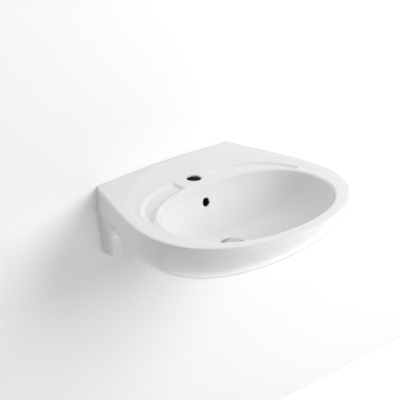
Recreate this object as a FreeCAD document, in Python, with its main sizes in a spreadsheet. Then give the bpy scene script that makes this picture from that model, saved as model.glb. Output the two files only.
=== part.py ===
"""Wall-hung wash basin with its wall fixings and its push-button waste.

Millimetres.  +X runs across the basin, +Y into the wall and +Z up.  The origin
lies on the wall plane, in the middle of the basin, at the height of its rim.
"""
import FreeCAD, Part
import math
import os
import re

import Sketcher

Vector = FreeCAD.Vector

SIZES = (
    # the outline of the rim, seen from above
    ("basin_half_width", 275.5, "half of the greatest width"),
    ("corner_half_width", 203.0, "half of the width at the wall"),
    ("widest_reach", 262.0, "the widest line, from the wall"),
    ("front_reach", 467.0, "the front of the rim, from the wall"),
    ("front_power", 2.185, "squareness of the front curve"),
    ("side_knee", 0.3, "how soon the side becomes straight"),
    ("wall_overrun", 4.0, "the outline beyond the wall, before the flat back is cut"),
    # the outside of the bowl
    ("rim_band", 12.0, "upright band under the rim"),
    ("hull_drop", 152.0, "flat boss under the bowl"),
    ("hull_pole", 155.0, "where the hull's curve would close"),
    ("hull_side_power", 3.0, "fullness of the hull's sides"),
    ("hull_side_root", 1.95, "roundness of the hull's sides"),
    ("hull_front_power", 1.7, "fullness of the hull's front"),
    ("hull_front_root", 1.9, "roundness of the hull's front"),
    ("rim_bevel", 3.0, "bevel of the rim's outer edge"),
    ("ledge_rise", 6.0, "rise of the ledge at the wall, at its middle"),
    ("ledge_run", 150.0, "reach of that rise from the wall"),
    # the bowl
    ("bowl_half_width", 220.0, "half of the bowl's mouth"),
    ("bowl_centre_reach", 290.0, "the mouth's widest line, from the wall"),
    ("bowl_front_run", 152.0, "from that line to the front of the mouth"),
    ("bowl_back_run", 146.0, "from that line to the back of the mouth"),
    ("bowl_power", 2.2, "squareness of the mouth"),
    ("bowl_drop", 126.0, "depth of the bowl at the drain"),
    ("bowl_wall_power", 2.6, "steepness of the bowl's wall"),
    ("bowl_wall_root", 2.0, "roundness of the bowl's bottom"),
    ("bowl_lip", 3.5, "bevel at the mouth"),
    ("flare_reach", 9.0, "half height of the bevel's tool"),
    # the sunken deck behind the bowl
    ("dish_half_width", 268.0, "half width of the dish at its top"),
    ("dish_centre_reach", 265.0, "widest line of the dish, from the wall"),
    ("dish_back_run", 258.0, "from that line to the back of the dish"),
    ("dish_power", 2.2, "squareness of the dish's edge"),
    ("dish_foot_half_width", 236.0, "half width of the dish's floor"),
    ("dish_foot_back_run", 180.0, "from the widest line to the floor's back"),
    ("dish_foot_power", 2.5, "squareness of the floor"),
    ("dish_wall", 11.0, "height of the dish's wall above its floor"),
    ("dish_hinge_reach", 300.0, "where the sloping floor meets the rim"),
    ("dish_slope", 0.8, "slope of the floor in degrees"),
    # the seat of the tap
    ("tap_reach", 105.0, "centre of the tap hole, from the wall"),
    ("tap_hole_radius", 17.5, "standard hole for a single tap"),
    ("tap_seat_half_width", 50.0, "half width of the seat between the soap dishes"),
    # the soap dishes on both sides of the tap
    ("soap_drop", 8.5, "floor of a soap dish, under the rim"),
    ("soap_margin", 4.0, "ceramic between the dish's foot and a soap dish"),
    ("soap_lip", 12.0, "ceramic between the bowl's mouth and a soap dish"),
    ("soap_draft", 7.0, "run of a soap dish's wall"),
    ("soap_end_reach", 225.0, "front end of a soap dish, from the wall"),
    # the back, hidden against the wall
    ("pier_inner", 158.0, "inner face of a pier"),
    ("pier_spare", 8.0, "piers and back plate, before the well is cut"),
    ("pier_top_half_width", 206.0, "outer face of a pier, under the band"),
    ("pier_foot_half_width", 192.0, "outer face of a pier, at its foot"),
    ("pier_depth", 40.0, "depth of a pier from the wall"),
    ("pier_drop", 174.0, "foot of the piers"),
    ("pier_shoulder_drop", 60.0, "where a pier is widest"),
    ("pier_bevel", 4.0, "bevel of a pier's upright edge"),
    ("back_plate", 14.0, "thickness of the plate on the wall"),
    ("back_plate_drop", 126.0, "lower edge of that plate"),
    ("well_reach", 125.0, "front of the open well behind the bowl"),
    # the cast hollow between the bowl and the hull
    ("shell_wall", 10.0, "thickness of the ceramic"),
    ("hollow_top_drop", 18.0, "roof of the hollow"),
    ("hollow_floor_drop", 118.0, "floor of the hollow"),
    ("hollow_front_reach", 330.0, "front end of the hollow"),
    # the drain and the overflow
    ("drain_reach", 245.0, "centre of the drain, from the wall"),
    ("drain_hole_radius", 23.0, "hole for the waste"),
    ("overflow_drop", 50.0, "centre of the overflow hole"),
    ("overflow_radius", 10.0, "overflow hole"),
    ("duct_half_width", 12.0, "half width of the overflow duct"),
    ("duct_top_drop", 39.0, "roof of the duct"),
    ("duct_depth", 10.0, "the duct, from front to back"),
    ("duct_wall", 8.0, "ceramic round the duct"),
    ("duct_mouth_drop", 141.0, "centre of the duct's mouth in the drain"),
    ("duct_mouth_height", 10.0, "height of that mouth"),
    ("duct_heel", 22.0, "height of the duct's slope towards the drain"),
    # the wall fixings
    ("fixing_half_spacing", 140.0, "half of the distance between the bolts"),
    ("fixing_drop", 100.0, "centre of the bolts, under the rim"),
    ("fixing_hole_radius", 8.0, "hole in the back plate"),
    ("bolt_radius", 5.0, "hanger bolt"),
    ("bolt_reach", 38.0, "the bolt, in front of the wall"),
    ("bolt_embed", 60.0, "the bolt, inside the wall"),
    ("bolt_tip", 8.0, "length of its point"),
    ("plug_radius", 7.0, "wall plug"),
    ("plug_length", 70.0, "wall plug"),
    ("plug_slit", 2.0, "slit of the wall plug"),
    ("bush_short", 0.5, "the bush, short of the wall"),
    ("bush_clearance", 0.3, "the bush in the basin's hole"),
    ("bush_flange_radius", 13.0, "flange of the bush"),
    ("bush_flange", 2.0, "thickness of that flange"),
    ("bolt_clearance", 0.2, "the bolt in bush, washer and nut"),
    ("washer_radius", 14.0, "steel washer"),
    ("washer_thickness", 2.0, "steel washer"),
    ("nut_width", 17.0, "hexagon nut, across its flats"),
    ("nut_height", 8.0, "hexagon nut"),
    # the waste
    ("flange_radius", 32.0, "flange of the waste"),
    ("flange_thickness", 3.0, "flange of the waste"),
    ("flange_dish", 2.0, "fall of the flange to its throat"),
    ("tail_radius", 20.955, "threaded tail, G 1 1/4"),
    ("tail_bore", 18.0, "bore of the tail"),
    ("tail_drop", 186.0, "end of the tail"),
    ("free_tail", 16.0, "threaded end that takes the trap's nut"),
    ("tail_groove", 0.6, "depth of the thread's run-out groove"),
    ("seal_thickness", 2.0, "seal under the flange"),
    ("seat_clearance", 0.5, "the flange in its ceramic seat"),
    ("tail_clearance", 0.3, "rings round the tail"),
    ("window_half_width", 6.0, "half width of a window for the overflow"),
    ("gasket_radius", 30.0, "gasket under the basin"),
    ("gasket_thickness", 5.0, "gasket under the basin"),
    ("gasket_spigot", 3.0, "the gasket, up into the hole"),
    ("slip_radius", 29.0, "slip washer"),
    ("slip_thickness", 1.5, "slip washer"),
    ("back_nut_radius", 28.0, "back nut, over its corners"),
    ("back_nut_height", 9.0, "back nut"),
    ("bridge_drop", 26.0, "bridge of the waste, under the flange's face"),
    ("bridge_height", 5.0, "bridge of the waste"),
    ("bridge_half_width", 2.5, "half width of an arm of the bridge"),
    ("bridge_hub_wall", 2.5, "hub of the bridge, round the cartridge"),
    ("cartridge_radius", 7.5, "click cartridge"),
    ("cartridge_bore", 5.6, "bore of the cartridge, for the spring"),
    ("cartridge_height", 24.0, "cup of the cartridge"),
    ("cartridge_above", 12.0, "the cup, above the bridge"),
    ("cartridge_floor", 2.0, "floor of the cup"),
    ("collar_height", 2.0, "collar that closes the cup"),
    ("stem_radius", 3.0, "stem of the plug"),
    ("stem_clearance", 0.1, "the stem in the collar"),
    ("stem_foot_radius", 5.2, "foot of the stem, on the spring"),
    ("stem_foot_height", 2.0, "foot of the stem"),
    ("stem_rest_gap", 0.3, "the foot under the collar, with the plug up"),
    ("spring_wire_radius", 0.45, "wire of the spring"),
    ("spring_coil_radius", 4.4, "middle of the spring's coil"),
    ("spring_turns", 6.0, "turns of the spring"),
    ("plug_cap_radius", 19.5, "cap of the plug"),
    ("plug_cap_height", 3.0, "cap of the plug"),
    ("plug_crown", 1.0, "crown of the cap"),
    ("plug_skirt_radius", 15.6, "skirt under the cap"),
    ("plug_skirt_height", 6.0, "skirt under the cap"),
    ("plug_travel", 6.5, "travel of the plug"),
    ("plug_gap", 0.4, "the closed cap above the flange"),
    ("ring_section_radius", 1.4, "section of the plug's seal ring"),
    ("ring_clearance", 0.3, "the seal ring in the throat"),
)


def make_sheet(doc):
    """One row for each driving dimension: its meaning and its value."""
    sheet = doc.addObject("Spreadsheet::Sheet", "Sizes")
    for row, (alias, value, meaning) in enumerate(SIZES, start=1):
        sheet.set("A%d" % row, meaning)
        sheet.set("B%d" % row, str(value))
        sheet.setAlias("B%d" % row, alias)
    doc.recompute()
    return sheet


doc = FreeCAD.newDocument("wall_hung_basin")
sheet = make_sheet(doc)
ALIASES = sorted((row[0] for row in SIZES), key=len, reverse=True)


def cells(formula):
    """Turn the bare names of a formula into names of the sheet's cells."""
    return re.sub(r"\b(%s)\b" % "|".join(ALIASES), r"Sizes.\1", formula)


def value(formula):
    """The number that a formula of the sheet's names gives."""
    return float(sheet.evalExpression(cells(formula)))


def bind(thing, path, formula):
    """Let the sheet drive one property of an object."""
    thing.setExpression(path, cells(formula))


def place(thing, across="0", inward="0", up="0", turn=0.0):
    """Put an object by three formulas, after a turn in degrees about X."""
    thing.Placement = FreeCAD.Placement(Vector(0, 0, 0), FreeCAD.Rotation(Vector(1, 0, 0), turn))
    for axis, formula in (("x", across), ("y", inward), ("z", up)):
        bind(thing, "Placement.Base." + axis, formula)
    return thing


# ---------------------------------------------------------------- operations

def cylinder(name, radius, height, across="0", inward="0", up="0", turn=0.0):
    """A cylinder that rises from its place, or lies along Y when it is turned."""
    rod = doc.addObject("Part::Cylinder", name)
    bind(rod, "Radius", radius)
    bind(rod, "Height", height)
    return place(rod, across, inward, up, turn)


def block(name, length, width, height, across, inward, up):
    """A box from its corner with the least X, Y and Z."""
    box = doc.addObject("Part::Box", name)
    bind(box, "Length", length)
    bind(box, "Width", width)
    bind(box, "Height", height)
    return place(box, across, inward, up)


def cut(name, base, tool):
    """The base without the tool."""
    result = doc.addObject("Part::Cut", name)
    result.Base = base
    result.Tool = tool
    doc.recompute()
    return result


def common(name, base, tool):
    """What the base and the tool share."""
    result = doc.addObject("Part::Common", name)
    result.Base = base
    result.Tool = tool
    doc.recompute()
    return result


def fuse(name, shapes):
    """Several shapes as one."""
    result = doc.addObject("Part::MultiFuse", name)
    result.Shapes = shapes
    doc.recompute()
    return result


def loft(name, wires, ruled=False):
    """A solid through level sections."""
    sections = []
    for number, wire in enumerate(wires, start=1):
        section = doc.addObject("Part::Feature", "%s_section_%d" % (name, number))
        section.Shape = wire
        sections.append(section)
    solid = doc.addObject("Part::Loft", name)
    solid.Sections = sections
    solid.Solid = True
    solid.Ruled = ruled
    doc.recompute()
    return solid


def spline(points, closed=False):
    """A smooth edge through points."""
    curve = Part.BSplineCurve()
    curve.interpolate(Points=points, PeriodicFlag=closed)
    return curve.toShape()


def mix(start, end, share):
    """The value at a share of the way from start to end."""
    return start + (end - start) * share


def keeps(share, power, root):
    """The share of its width that a wall keeps at a share of its depth."""
    return (1.0 - share ** power) ** (1.0 / root)


# ---------------------------------------------------------------- the ceramic

SIDE_STEPS = 6
FRONT_STEPS = 8
ROUND_STEPS = 8


def side_run(fall):
    """A hyperbola: flat at the widest line, then straight towards the wall."""
    knee = value("side_knee")
    return (math.hypot(1, fall / knee) - 1) / (math.hypot(1, 1 / knee) - 1)


def superellipse(angle, half_width, run, power):
    """The point of a rounded quarter at an angle from its widest line."""
    across = half_width * abs(math.cos(angle)) ** (2 / power)
    along = run * abs(math.sin(angle)) ** (2 / power)
    return math.copysign(across, math.cos(angle)), math.copysign(along, math.sin(angle))


def hull_wire(drop, inset=0.0):
    """Level section of the hull: a curve round the front and a line at the back."""
    band = value("rim_band")
    share = max(0.0, (drop - band) / (value("hull_pole") - inset - band))
    side = keeps(share, value("hull_side_power"), value("hull_side_root"))
    front = keeps(share, value("hull_front_power"), value("hull_front_root"))
    half_width = value("basin_half_width") * side - inset
    corner = value("corner_half_width") * side - inset
    widest = -mix(value("widest_reach"), value("drain_reach"), share)
    run = value("front_reach - widest_reach") * front - inset
    back = -value("drain_reach") * (1 - side) - inset
    overrun = 1 if inset else 1 + value("wall_overrun / widest_reach")
    half = []
    for step in range(SIDE_STEPS):
        fall = overrun * (1 - step / SIDE_STEPS)
        half.append(Vector(mix(half_width, corner, side_run(fall)), mix(widest, back, fall), -drop))
    for step in range(FRONT_STEPS + 1):
        angle = math.pi / 2 * step / FRONT_STEPS
        across, along = superellipse(angle, half_width, run, value("front_power"))
        half.append(Vector(across, widest - along, -drop))
    mirrored = [Vector(-point.x, point.y, point.z) for point in reversed(half[:-1])]
    curve = spline(half + mirrored)
    return Part.Wire([curve, Part.makeLine(mirrored[-1], half[0])])


def round_wire(half_width, front_run, back_run, power, centre, height):
    """Closed level section: one superellipse in front of its widest line, one behind."""
    points = []
    for step in range(4 * ROUND_STEPS):
        angle = math.pi / 2 * step / ROUND_STEPS
        run = back_run if math.sin(angle) > 0 else front_run
        across, along = superellipse(angle, half_width, run, power)
        points.append(Vector(across, centre + along, height))
    return Part.Wire([spline(points, closed=True)])


def bowl_scale(drop, wall):
    """How far the bowl's section has drawn in towards the drain."""
    share = max(0.0, drop) / (value("bowl_drop") + wall)
    return keeps(share, value("bowl_wall_power"), value("bowl_wall_root"))


def bowl_wire(drop, outset, wall=0.0):
    """Level section of the bowl, drawn in about the drain, then moved outwards."""
    scale = bowl_scale(drop, wall)
    drain = value("drain_reach")
    centre = -drain + scale * (drain - value("bowl_centre_reach"))
    return round_wire(value("bowl_half_width") * scale + outset, value("bowl_front_run") * scale + outset,
                      value("bowl_back_run") * scale + outset, value("bowl_power"), centre, -drop)


def bowl_back(drop):
    """Y of the bowl's back wall, in the middle of the basin."""
    drain = value("drain_reach")
    mouth = value("bowl_centre_reach - bowl_back_run")
    return -drain + (drain - mouth) * bowl_scale(drop, 0.0)


def make_outside():
    """The hull under a lid that rises a little along the wall."""
    above = 2 * value("ledge_rise")
    band, pole, boss = value("rim_band"), value("hull_pole"), value("hull_drop")
    drops = [-above, 0.0, band]
    drops += [mix(band, pole, share) for share in (0.13, 0.27, 0.42, 0.56, 0.69, 0.8, 0.88, 0.94)]
    drops += [boss]
    hull = loft("hull", [hull_wire(drop) for drop in drops])

    run, rise = value("ledge_run"), value("ledge_rise")
    half = value("corner_half_width") * 1.12
    wide, deep, far = 2 * half, value("pier_drop"), value("front_reach") * 1.1
    profiles = []
    for reach in (far, 2.5 * run, 1.6 * run, run, 0.75 * run, 0.5 * run, 0.25 * run, 0.0, -0.1 * run):
        share = max(0.0, 1 - reach / run)
        crown = rise * (1 - math.cos(math.pi * min(1.0, share))) / 2
        top = []
        for step in range(-8, 9):
            across = wide * step / 8
            bell = math.cos(math.pi / 2 * min(1.0, abs(across) / half)) ** 2
            top.append(Vector(across, -reach, crown * bell))
        low_right, low_left = Vector(wide, -reach, -deep), Vector(-wide, -reach, -deep)
        profiles.append(Part.Wire([spline(top), Part.makeLine(top[-1], low_right),
                                   Part.makeLine(low_right, low_left), Part.makeLine(low_left, top[0])]))
    lid = loft("lid", profiles)
    wall = block("wall", "4 * basin_half_width", "widest_reach", "2 * pier_drop",
                 "-2 * basin_half_width", "0", "-pier_drop")
    return cut("outside", common("capped_hull", hull, lid), wall)


def bevel_rim(outside):
    """Bevel the rim's outer edge, from one corner at the wall to the other."""
    edges = []
    for number, edge in enumerate(outside.Shape.Edges, start=1):
        box = edge.BoundBox
        if box.ZMin > -1 and box.YMin < -1:
            edges.append((number, value("rim_bevel"), value("rim_bevel")))
    bevelled = doc.addObject("Part::Chamfer", "bevelled_outside")
    bevelled.Base = outside
    bevelled.Edges = edges
    doc.recompute()
    return bevelled


def pier_wire(half_width, drop):
    """Level section of the right pier, with one bevelled corner."""
    inner, depth = value("pier_inner - pier_spare"), value("pier_depth")
    bevel = value("pier_bevel")
    corners = ((inner, 0), (half_width, 0), (half_width, bevel - depth),
               (half_width - bevel, -depth), (inner, -depth), (inner, 0))
    return Part.makePolygon([Vector(across, along, -drop) for across, along in corners])


def make_piers():
    """The right pier, narrowing to its foot, and its mirror image."""
    top, foot = value("pier_top_half_width"), value("pier_foot_half_width")
    levels = ((foot, value("rim_band")), (top, value("pier_shoulder_drop")), (foot, value("pier_drop")))
    right = loft("right_pier", [pier_wire(half, drop) for half, drop in levels], ruled=True)
    left = doc.addObject("Part::Mirroring", "left_pier")
    left.Source = right
    left.Normal = Vector(1, 0, 0)
    doc.recompute()
    return right, left


def make_hollow():
    """The cast hollow round the bowl, which opens into the well behind it."""
    wall = value("shell_wall")
    roof, floor = value("hollow_top_drop"), value("hollow_floor_drop")
    drops = [mix(roof, floor, share) for share in (0.0, 0.2, 0.4, 0.6, 0.8, 0.92, 1.0)]
    inner_hull = loft("inner_hull", [hull_wire(drop, wall) for drop in drops])
    deeper = [mix(0, value("bowl_drop") + wall, share) for share in (0.0, 0.25, 0.5, 0.7, 0.84, 0.93, 0.98)]
    bowl_shell = loft("bowl_shell", [bowl_wire(drop, wall, wall) for drop in deeper])
    behind = block("hollow_reach", "4 * basin_half_width", "hollow_front_reach", "pier_drop",
                   "-2 * basin_half_width", "-hollow_front_reach", "-pier_drop")
    ring = cut("hollow_ring", common("hollow_raw", inner_hull, behind), bowl_shell)
    well = doc.addObject("Part::Feature", "well")
    foot, under = -value("pier_drop + pier_spare"), -value("back_plate_drop")
    front, plate = -value("well_reach"), -value("back_plate")
    corners = ((front, foot), (value("pier_spare"), foot), (value("pier_spare"), under),
               (plate, under), (plate, -roof), (front, -roof), (front, foot))
    side = -value("pier_inner")
    outline = Part.makePolygon([Vector(side, along, up) for along, up in corners])
    well.Shape = Part.Face(outline).extrude(Vector(-2 * side, 0, 0))
    return ring, well


def duct_solid(name, half_width, drops, front, back, mouth_half_height, heel, drain):
    """A duct behind the bowl that turns forward to the drain, drawn from the side."""
    mouth = value("duct_mouth_drop")
    down = [Vector(-half_width, front(drop), -drop) for drop in drops]
    up = [Vector(-half_width, back(drop), -drop) for drop in reversed(drops)]
    turn = [Vector(-half_width, drain, -mouth + mouth_half_height),
            Vector(-half_width, drain, -mouth - mouth_half_height),
            Vector(-half_width, up[0].y - heel, -mouth - mouth_half_height),
            Vector(-half_width, up[0].y + heel / 2, -mouth + mouth_half_height)]
    outline = Part.makePolygon(down + turn + up + down[:1])
    solid = doc.addObject("Part::Feature", name)
    solid.Shape = Part.Face(outline).extrude(Vector(2 * half_width, 0, 0))
    return solid


def make_duct():
    """The rib that carries the overflow duct, and the duct to cut from it."""
    wall, depth = value("duct_wall"), value("duct_depth")
    roof, floor = value("duct_top_drop"), value("duct_mouth_drop - duct_mouth_height / 2 - duct_heel")
    steps = (0.0, 0.3, 0.6, 0.85, 1.0)
    drops = [mix(roof, floor, step) for step in steps]
    rib_drops = [mix(roof - wall / 2, floor, step) for step in steps]
    half_height = value("duct_mouth_height / 2")
    duct = duct_solid("overflow_duct", value("duct_half_width"), drops,
                      lambda drop: bowl_back(drop) + wall, lambda drop: bowl_back(drop) + wall + depth,
                      half_height, wall, -value("drain_reach"))
    rib = duct_solid("duct_rib", value("duct_half_width + duct_wall"), rib_drops,
                     lambda drop: bowl_back(drop) + wall / 2, lambda drop: bowl_back(drop) + 2 * wall + depth,
                     half_height + 1, wall, value("drain_hole_radius + flange_radius / 2 - drain_reach"))
    return rib, duct


def make_bowl_tool():
    """What the bowl leaves open, upright above the rim."""
    depth = value("bowl_drop")
    shares = (-0.11, -0.05, 0.05, 0.15, 0.3, 0.45, 0.6, 0.72, 0.82, 0.9, 0.95, 0.985)
    return loft("bowl_tool", [bowl_wire(depth * share, 0.0) for share in shares])


def make_flare():
    """A cone-like tool that bevels the mouth of the bowl."""
    reach = value("flare_reach")
    wires = []
    for height in (-reach, reach):
        out = height + value("bowl_lip")
        wires.append(round_wire(value("bowl_half_width") + out, value("bowl_front_run") + out,
                                value("bowl_back_run") + out, value("bowl_power"),
                                -value("bowl_centre_reach"), height))
    return loft("flare", wires, ruled=True)


def make_dish_tool():
    """What the sunken deck leaves open: a dish whose floor slopes up to the rim."""
    hinge = value("dish_hinge_reach")
    centre = hinge - value("dish_centre_reach")
    wires = []
    for share in (1.0, 0.85, 0.65, 0.4, 0.15, -0.15, -0.4):
        half = mix(value("dish_half_width"), value("dish_foot_half_width"), share)
        back = mix(value("dish_back_run"), value("dish_foot_back_run"), share)
        power = mix(value("dish_power"), value("dish_foot_power"), share)
        height = value("dish_wall") * (1 - share) ** 1.5
        wires.append(round_wire(half, value("bowl_front_run"), back, power, centre, height))
    dish = loft("dish", wires)
    dish.Placement = FreeCAD.Placement(Vector(0, -hinge, 0),
                                       FreeCAD.Rotation(Vector(1, 0, 0), -value("dish_slope")))
    return dish


def band_edge(half_width, run, power, centre, start_across, end_reach, height):
    """Part of a superellipse, from near the middle round to a reach from the wall."""
    start = math.acos((start_across / half_width) ** (power / 2))
    end = math.asin(((-end_reach - centre) / run) ** (power / 2))
    points = []
    for step in range(ROUND_STEPS + 1):
        across, along = superellipse(mix(start, end, step / ROUND_STEPS), half_width, run, power)
        points.append(Vector(across, centre + along, height))
    return points


def soap_wire(inset, height):
    """Level section of the right soap dish, between the deck's foot and the bowl."""
    gap = value("soap_margin") + inset
    lip = value("soap_lip") + inset
    start = value("tap_seat_half_width") + inset
    end = value("soap_end_reach") - inset
    outer = band_edge(value("dish_foot_half_width") - gap, value("dish_foot_back_run") - gap,
                      value("dish_foot_power"), -value("dish_centre_reach"), start, end, height)
    inner = band_edge(value("bowl_half_width") + lip, value("bowl_back_run") + lip,
                      value("bowl_power"), -value("bowl_centre_reach"), start, end, height)
    inner.reverse()
    return Part.Wire([spline(outer), Part.makeLine(outer[-1], inner[0]),
                      spline(inner), Part.makeLine(inner[-1], outer[0])])


def make_soap_tools():
    """The right soap dish and its mirror image."""
    draft, drop = value("soap_draft"), value("soap_drop")
    right = loft("right_soap_dish", [soap_wire(-draft / 2, drop / 2), soap_wire(draft, -drop)], ruled=True)
    left = doc.addObject("Part::Mirroring", "left_soap_dish")
    left.Source = right
    left.Normal = Vector(1, 0, 0)
    doc.recompute()
    return right, left


def make_back():
    """The plate on the wall, with its two bolt holes, and the piers beside it."""
    plate = block("back_plate", "2 * pier_inner + 2 * pier_spare", "back_plate + pier_spare",
                  "back_plate_drop - rim_band", "-pier_inner - pier_spare", "-back_plate - pier_spare",
                  "-back_plate_drop")
    for name, sign in (("right", ""), ("left", "-")):
        hole = cylinder("fixing_hole_" + name, "fixing_hole_radius", "back_plate + 3 * pier_spare",
                        across=sign + "fixing_half_spacing", inward="-back_plate - 2 * pier_spare",
                        up="-fixing_drop", turn=-90)
        plate = cut("plate_with_" + hole.Name, plate, hole)
    return [plate, *make_piers()]


def make_ceramic():
    """The fired basin: one piece with its bowl, deck, piers, duct and holes."""
    body = bevel_rim(make_outside())
    for tool in (make_bowl_tool(), make_dish_tool(), make_flare()):
        body = cut("with_" + tool.Name, body, tool)
    ring, well = make_hollow()
    tap_hole = cylinder("tap_hole", "tap_hole_radius", "4 * hollow_top_drop",
                        inward="-tap_reach", up="-2 * hollow_top_drop")
    drain_hole = cylinder("drain_hole", "drain_hole_radius", "hull_drop",
                          inward="-drain_reach", up="-hull_drop - flange_thickness")
    flange_seat = cylinder("flange_seat", "flange_radius + seat_clearance",
                           "3 * flange_thickness + seal_thickness", inward="-drain_reach",
                           up="-bowl_drop - flange_thickness - seal_thickness")
    for hole in (*make_soap_tools(), tap_hole, drain_hole, flange_seat, ring):
        body = cut("with_" + hole.Name, body, hole)
    body = cut("with_well", fuse("with_back", [body, *make_back()]), well)
    rib, duct = make_duct()
    overflow_hole = cylinder("overflow_hole", "overflow_radius", "2 * duct_wall + duct_depth",
                             inward="%.4f" % (bowl_back(value("overflow_drop")) - value("duct_wall")),
                             up="-overflow_drop", turn=-90)
    body = fuse("with_rib", [body, rib])
    for hole in (duct, overflow_hole):
        body = cut("with_" + hole.Name, body, hole)
    body.Label = "ceramic_basin"
    return body


# ---------------------------------------------------------------- small pieces

def plane_of(body, role):
    """One of a body's own origin planes."""
    return next(feature for feature in body.Origin.OriginFeatures if feature.Role == role)


def sketch_on(body, role, name, lift="0", spin=0.0):
    """A sketch on an origin plane of its body, lifted and spun about its normal."""
    sketch = body.newObject("Sketcher::SketchObject", name)
    sketch.AttachmentSupport = [(plane_of(body, role), "")]
    sketch.MapMode = "FlatFace"
    sketch.AttachmentOffset = FreeCAD.Placement(Vector(0, 0, 0), FreeCAD.Rotation(Vector(0, 0, 1), spin))
    bind(sketch, "AttachmentOffset.Base.z", lift)
    return sketch


def hold_point(sketch, line, formula, kind, axis):
    """Tie the start of a line to a distance from an axis, or to the axis itself."""
    if formula == "0":
        sketch.addConstraint(Sketcher.Constraint("PointOnObject", line, 1, axis))
        return
    number = sketch.addConstraint(Sketcher.Constraint(kind, -1, 1, line, 1, value(formula)))
    bind(sketch, "Constraints[%d]" % number, formula)


def draw_polygon(sketch, corners):
    """A closed outline whose corners are pairs of formulas."""
    points = [Vector(value(across), value(up), 0) for across, up in corners]
    count = len(points)
    for number, point in enumerate(points):
        sketch.addGeometry(Part.LineSegment(point, points[(number + 1) % count]), False)
    for number in range(count):
        sketch.addConstraint(Sketcher.Constraint("Coincident", number, 2, (number + 1) % count, 1))
    for number, (across, up) in enumerate(corners):
        hold_point(sketch, number, across, "DistanceX", -2)
        hold_point(sketch, number, up, "DistanceY", -1)


def turned(name, corners):
    """A body of revolution about its Z axis, from pairs of radius and height."""
    body = doc.addObject("PartDesign::Body", name)
    body.Label = name
    sketch = sketch_on(body, "XZ_Plane", name + "_profile")
    draw_polygon(sketch, corners)
    turn = body.newObject("PartDesign::Revolution", name + "_turn")
    turn.Profile = sketch
    turn.ReferenceAxis = (sketch, ["V_Axis"])
    turn.Angle = 360
    doc.recompute()
    return body


def ring(name, inner, outer, height):
    """A flat ring that rises from its own XY plane."""
    return turned(name, [(inner, "0"), (outer, "0"), (outer, height), (inner, height)])


def slot_through(body, name, role, half_width, low, high, spin=0.0):
    """A window right through a body, square to one of its upright planes."""
    sketch = sketch_on(body, role, name, spin=spin)
    points = [(half_width, low), (half_width, high), ("-" + half_width, high), ("-" + half_width, low)]
    numbers = [Vector(value(across), value(up), 0) for across, up in points]
    for number, point in enumerate(numbers):
        sketch.addGeometry(Part.LineSegment(point, numbers[(number + 1) % 4]), False)
    for number in range(4):
        sketch.addConstraint(Sketcher.Constraint("Coincident", number, 2, (number + 1) % 4, 1))
    for number, kind in enumerate(("Vertical", "Horizontal", "Vertical")):
        sketch.addConstraint(Sketcher.Constraint(kind, number))
    sketch.addConstraint(Sketcher.Constraint("Symmetric", 0, 1, 2, 2, -2))
    limits = (("DistanceX", 0, 1, half_width), ("DistanceY", 0, 1, low), ("DistanceY", 0, 2, high))
    for kind, line, end, formula in limits:
        number = sketch.addConstraint(Sketcher.Constraint(kind, -1, 1, line, end, value(formula)))
        bind(sketch, "Constraints[%d]" % number, formula)
    pocket = body.newObject("PartDesign::Pocket", name + "_pocket")
    pocket.Profile = sketch
    pocket.Type = 1
    pocket.Midplane = True
    doc.recompute()
    return pocket


def hex_nut(name, corner_radius, height, bore):
    """A hexagon nut with its corners turned off at both ends."""
    prism = doc.addObject("Part::Prism", name + "_hexagon")
    prism.Polygon = 6
    bind(prism, "Circumradius", corner_radius)
    bind(prism, "Height", height)
    flat = "(%s) * 0.88" % corner_radius
    edge = "(%s) * 0.07" % corner_radius
    blank = turned(name + "_blank", [("0", "0"), (flat, "0"), (corner_radius, edge),
                                     (corner_radius, "%s - %s" % (height, edge)), (flat, height), ("0", height)])
    nut = cut(name, common(name + "_chamfered", prism, blank), cylinder(name + "_bore", bore, height))
    nut.Label = name
    return nut


# ---------------------------------------------------------------- wall fixings

def make_fixing(side, sign):
    """One wall fixing: plug and bolt in the wall, bush, washer and nut in front."""
    across = sign + "fixing_half_spacing"
    up = "-fixing_drop"
    bore = "bolt_radius + bolt_clearance"

    plug = turned("wall_plug_" + side, [
        (bore, "0"), ("plug_radius", "0"), ("plug_radius", "0.85 * plug_length"),
        ("plug_radius - 1", "plug_length"), (bore, "plug_length")])
    slot_through(plug, "plug_slit_" + side, "XZ_Plane", "plug_slit / 2", "0.3 * plug_length", "1.1 * plug_length")
    place(plug, across, "0", up, -90)

    bolt = turned("hanger_bolt_" + side, [
        ("0", "0"), ("bolt_radius", "bolt_tip"), ("bolt_radius", "bolt_embed - 4"),
        ("bolt_radius - 0.7", "bolt_embed - 3"), ("bolt_radius - 0.7", "bolt_embed + 3"),
        ("bolt_radius", "bolt_embed + 4"), ("bolt_radius", "bolt_embed + bolt_reach - 1"),
        ("bolt_radius - 1", "bolt_embed + bolt_reach"), ("0", "bolt_embed + bolt_reach")])
    place(bolt, across, "bolt_embed", up, 90)

    bush = turned("bush_" + side, [
        (bore, "0"), ("fixing_hole_radius - bush_clearance", "0"),
        ("fixing_hole_radius - bush_clearance", "back_plate - bush_short"),
        ("bush_flange_radius", "back_plate - bush_short"),
        ("bush_flange_radius", "back_plate - bush_short + bush_flange"),
        (bore, "back_plate - bush_short + bush_flange")])
    place(bush, across, "-bush_short", up, 90)

    washer = ring("washer_" + side, bore, "washer_radius", "washer_thickness")
    place(washer, across, "-back_plate - bush_flange", up, 90)

    nut = hex_nut("nut_" + side, "nut_width / 2 / cos(30)", "nut_height", bore)
    place(nut, across, "-back_plate - bush_flange - washer_thickness", up, 90)
    return [plug, bolt, bush, washer, nut]


# ---------------------------------------------------------------- the waste

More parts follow.
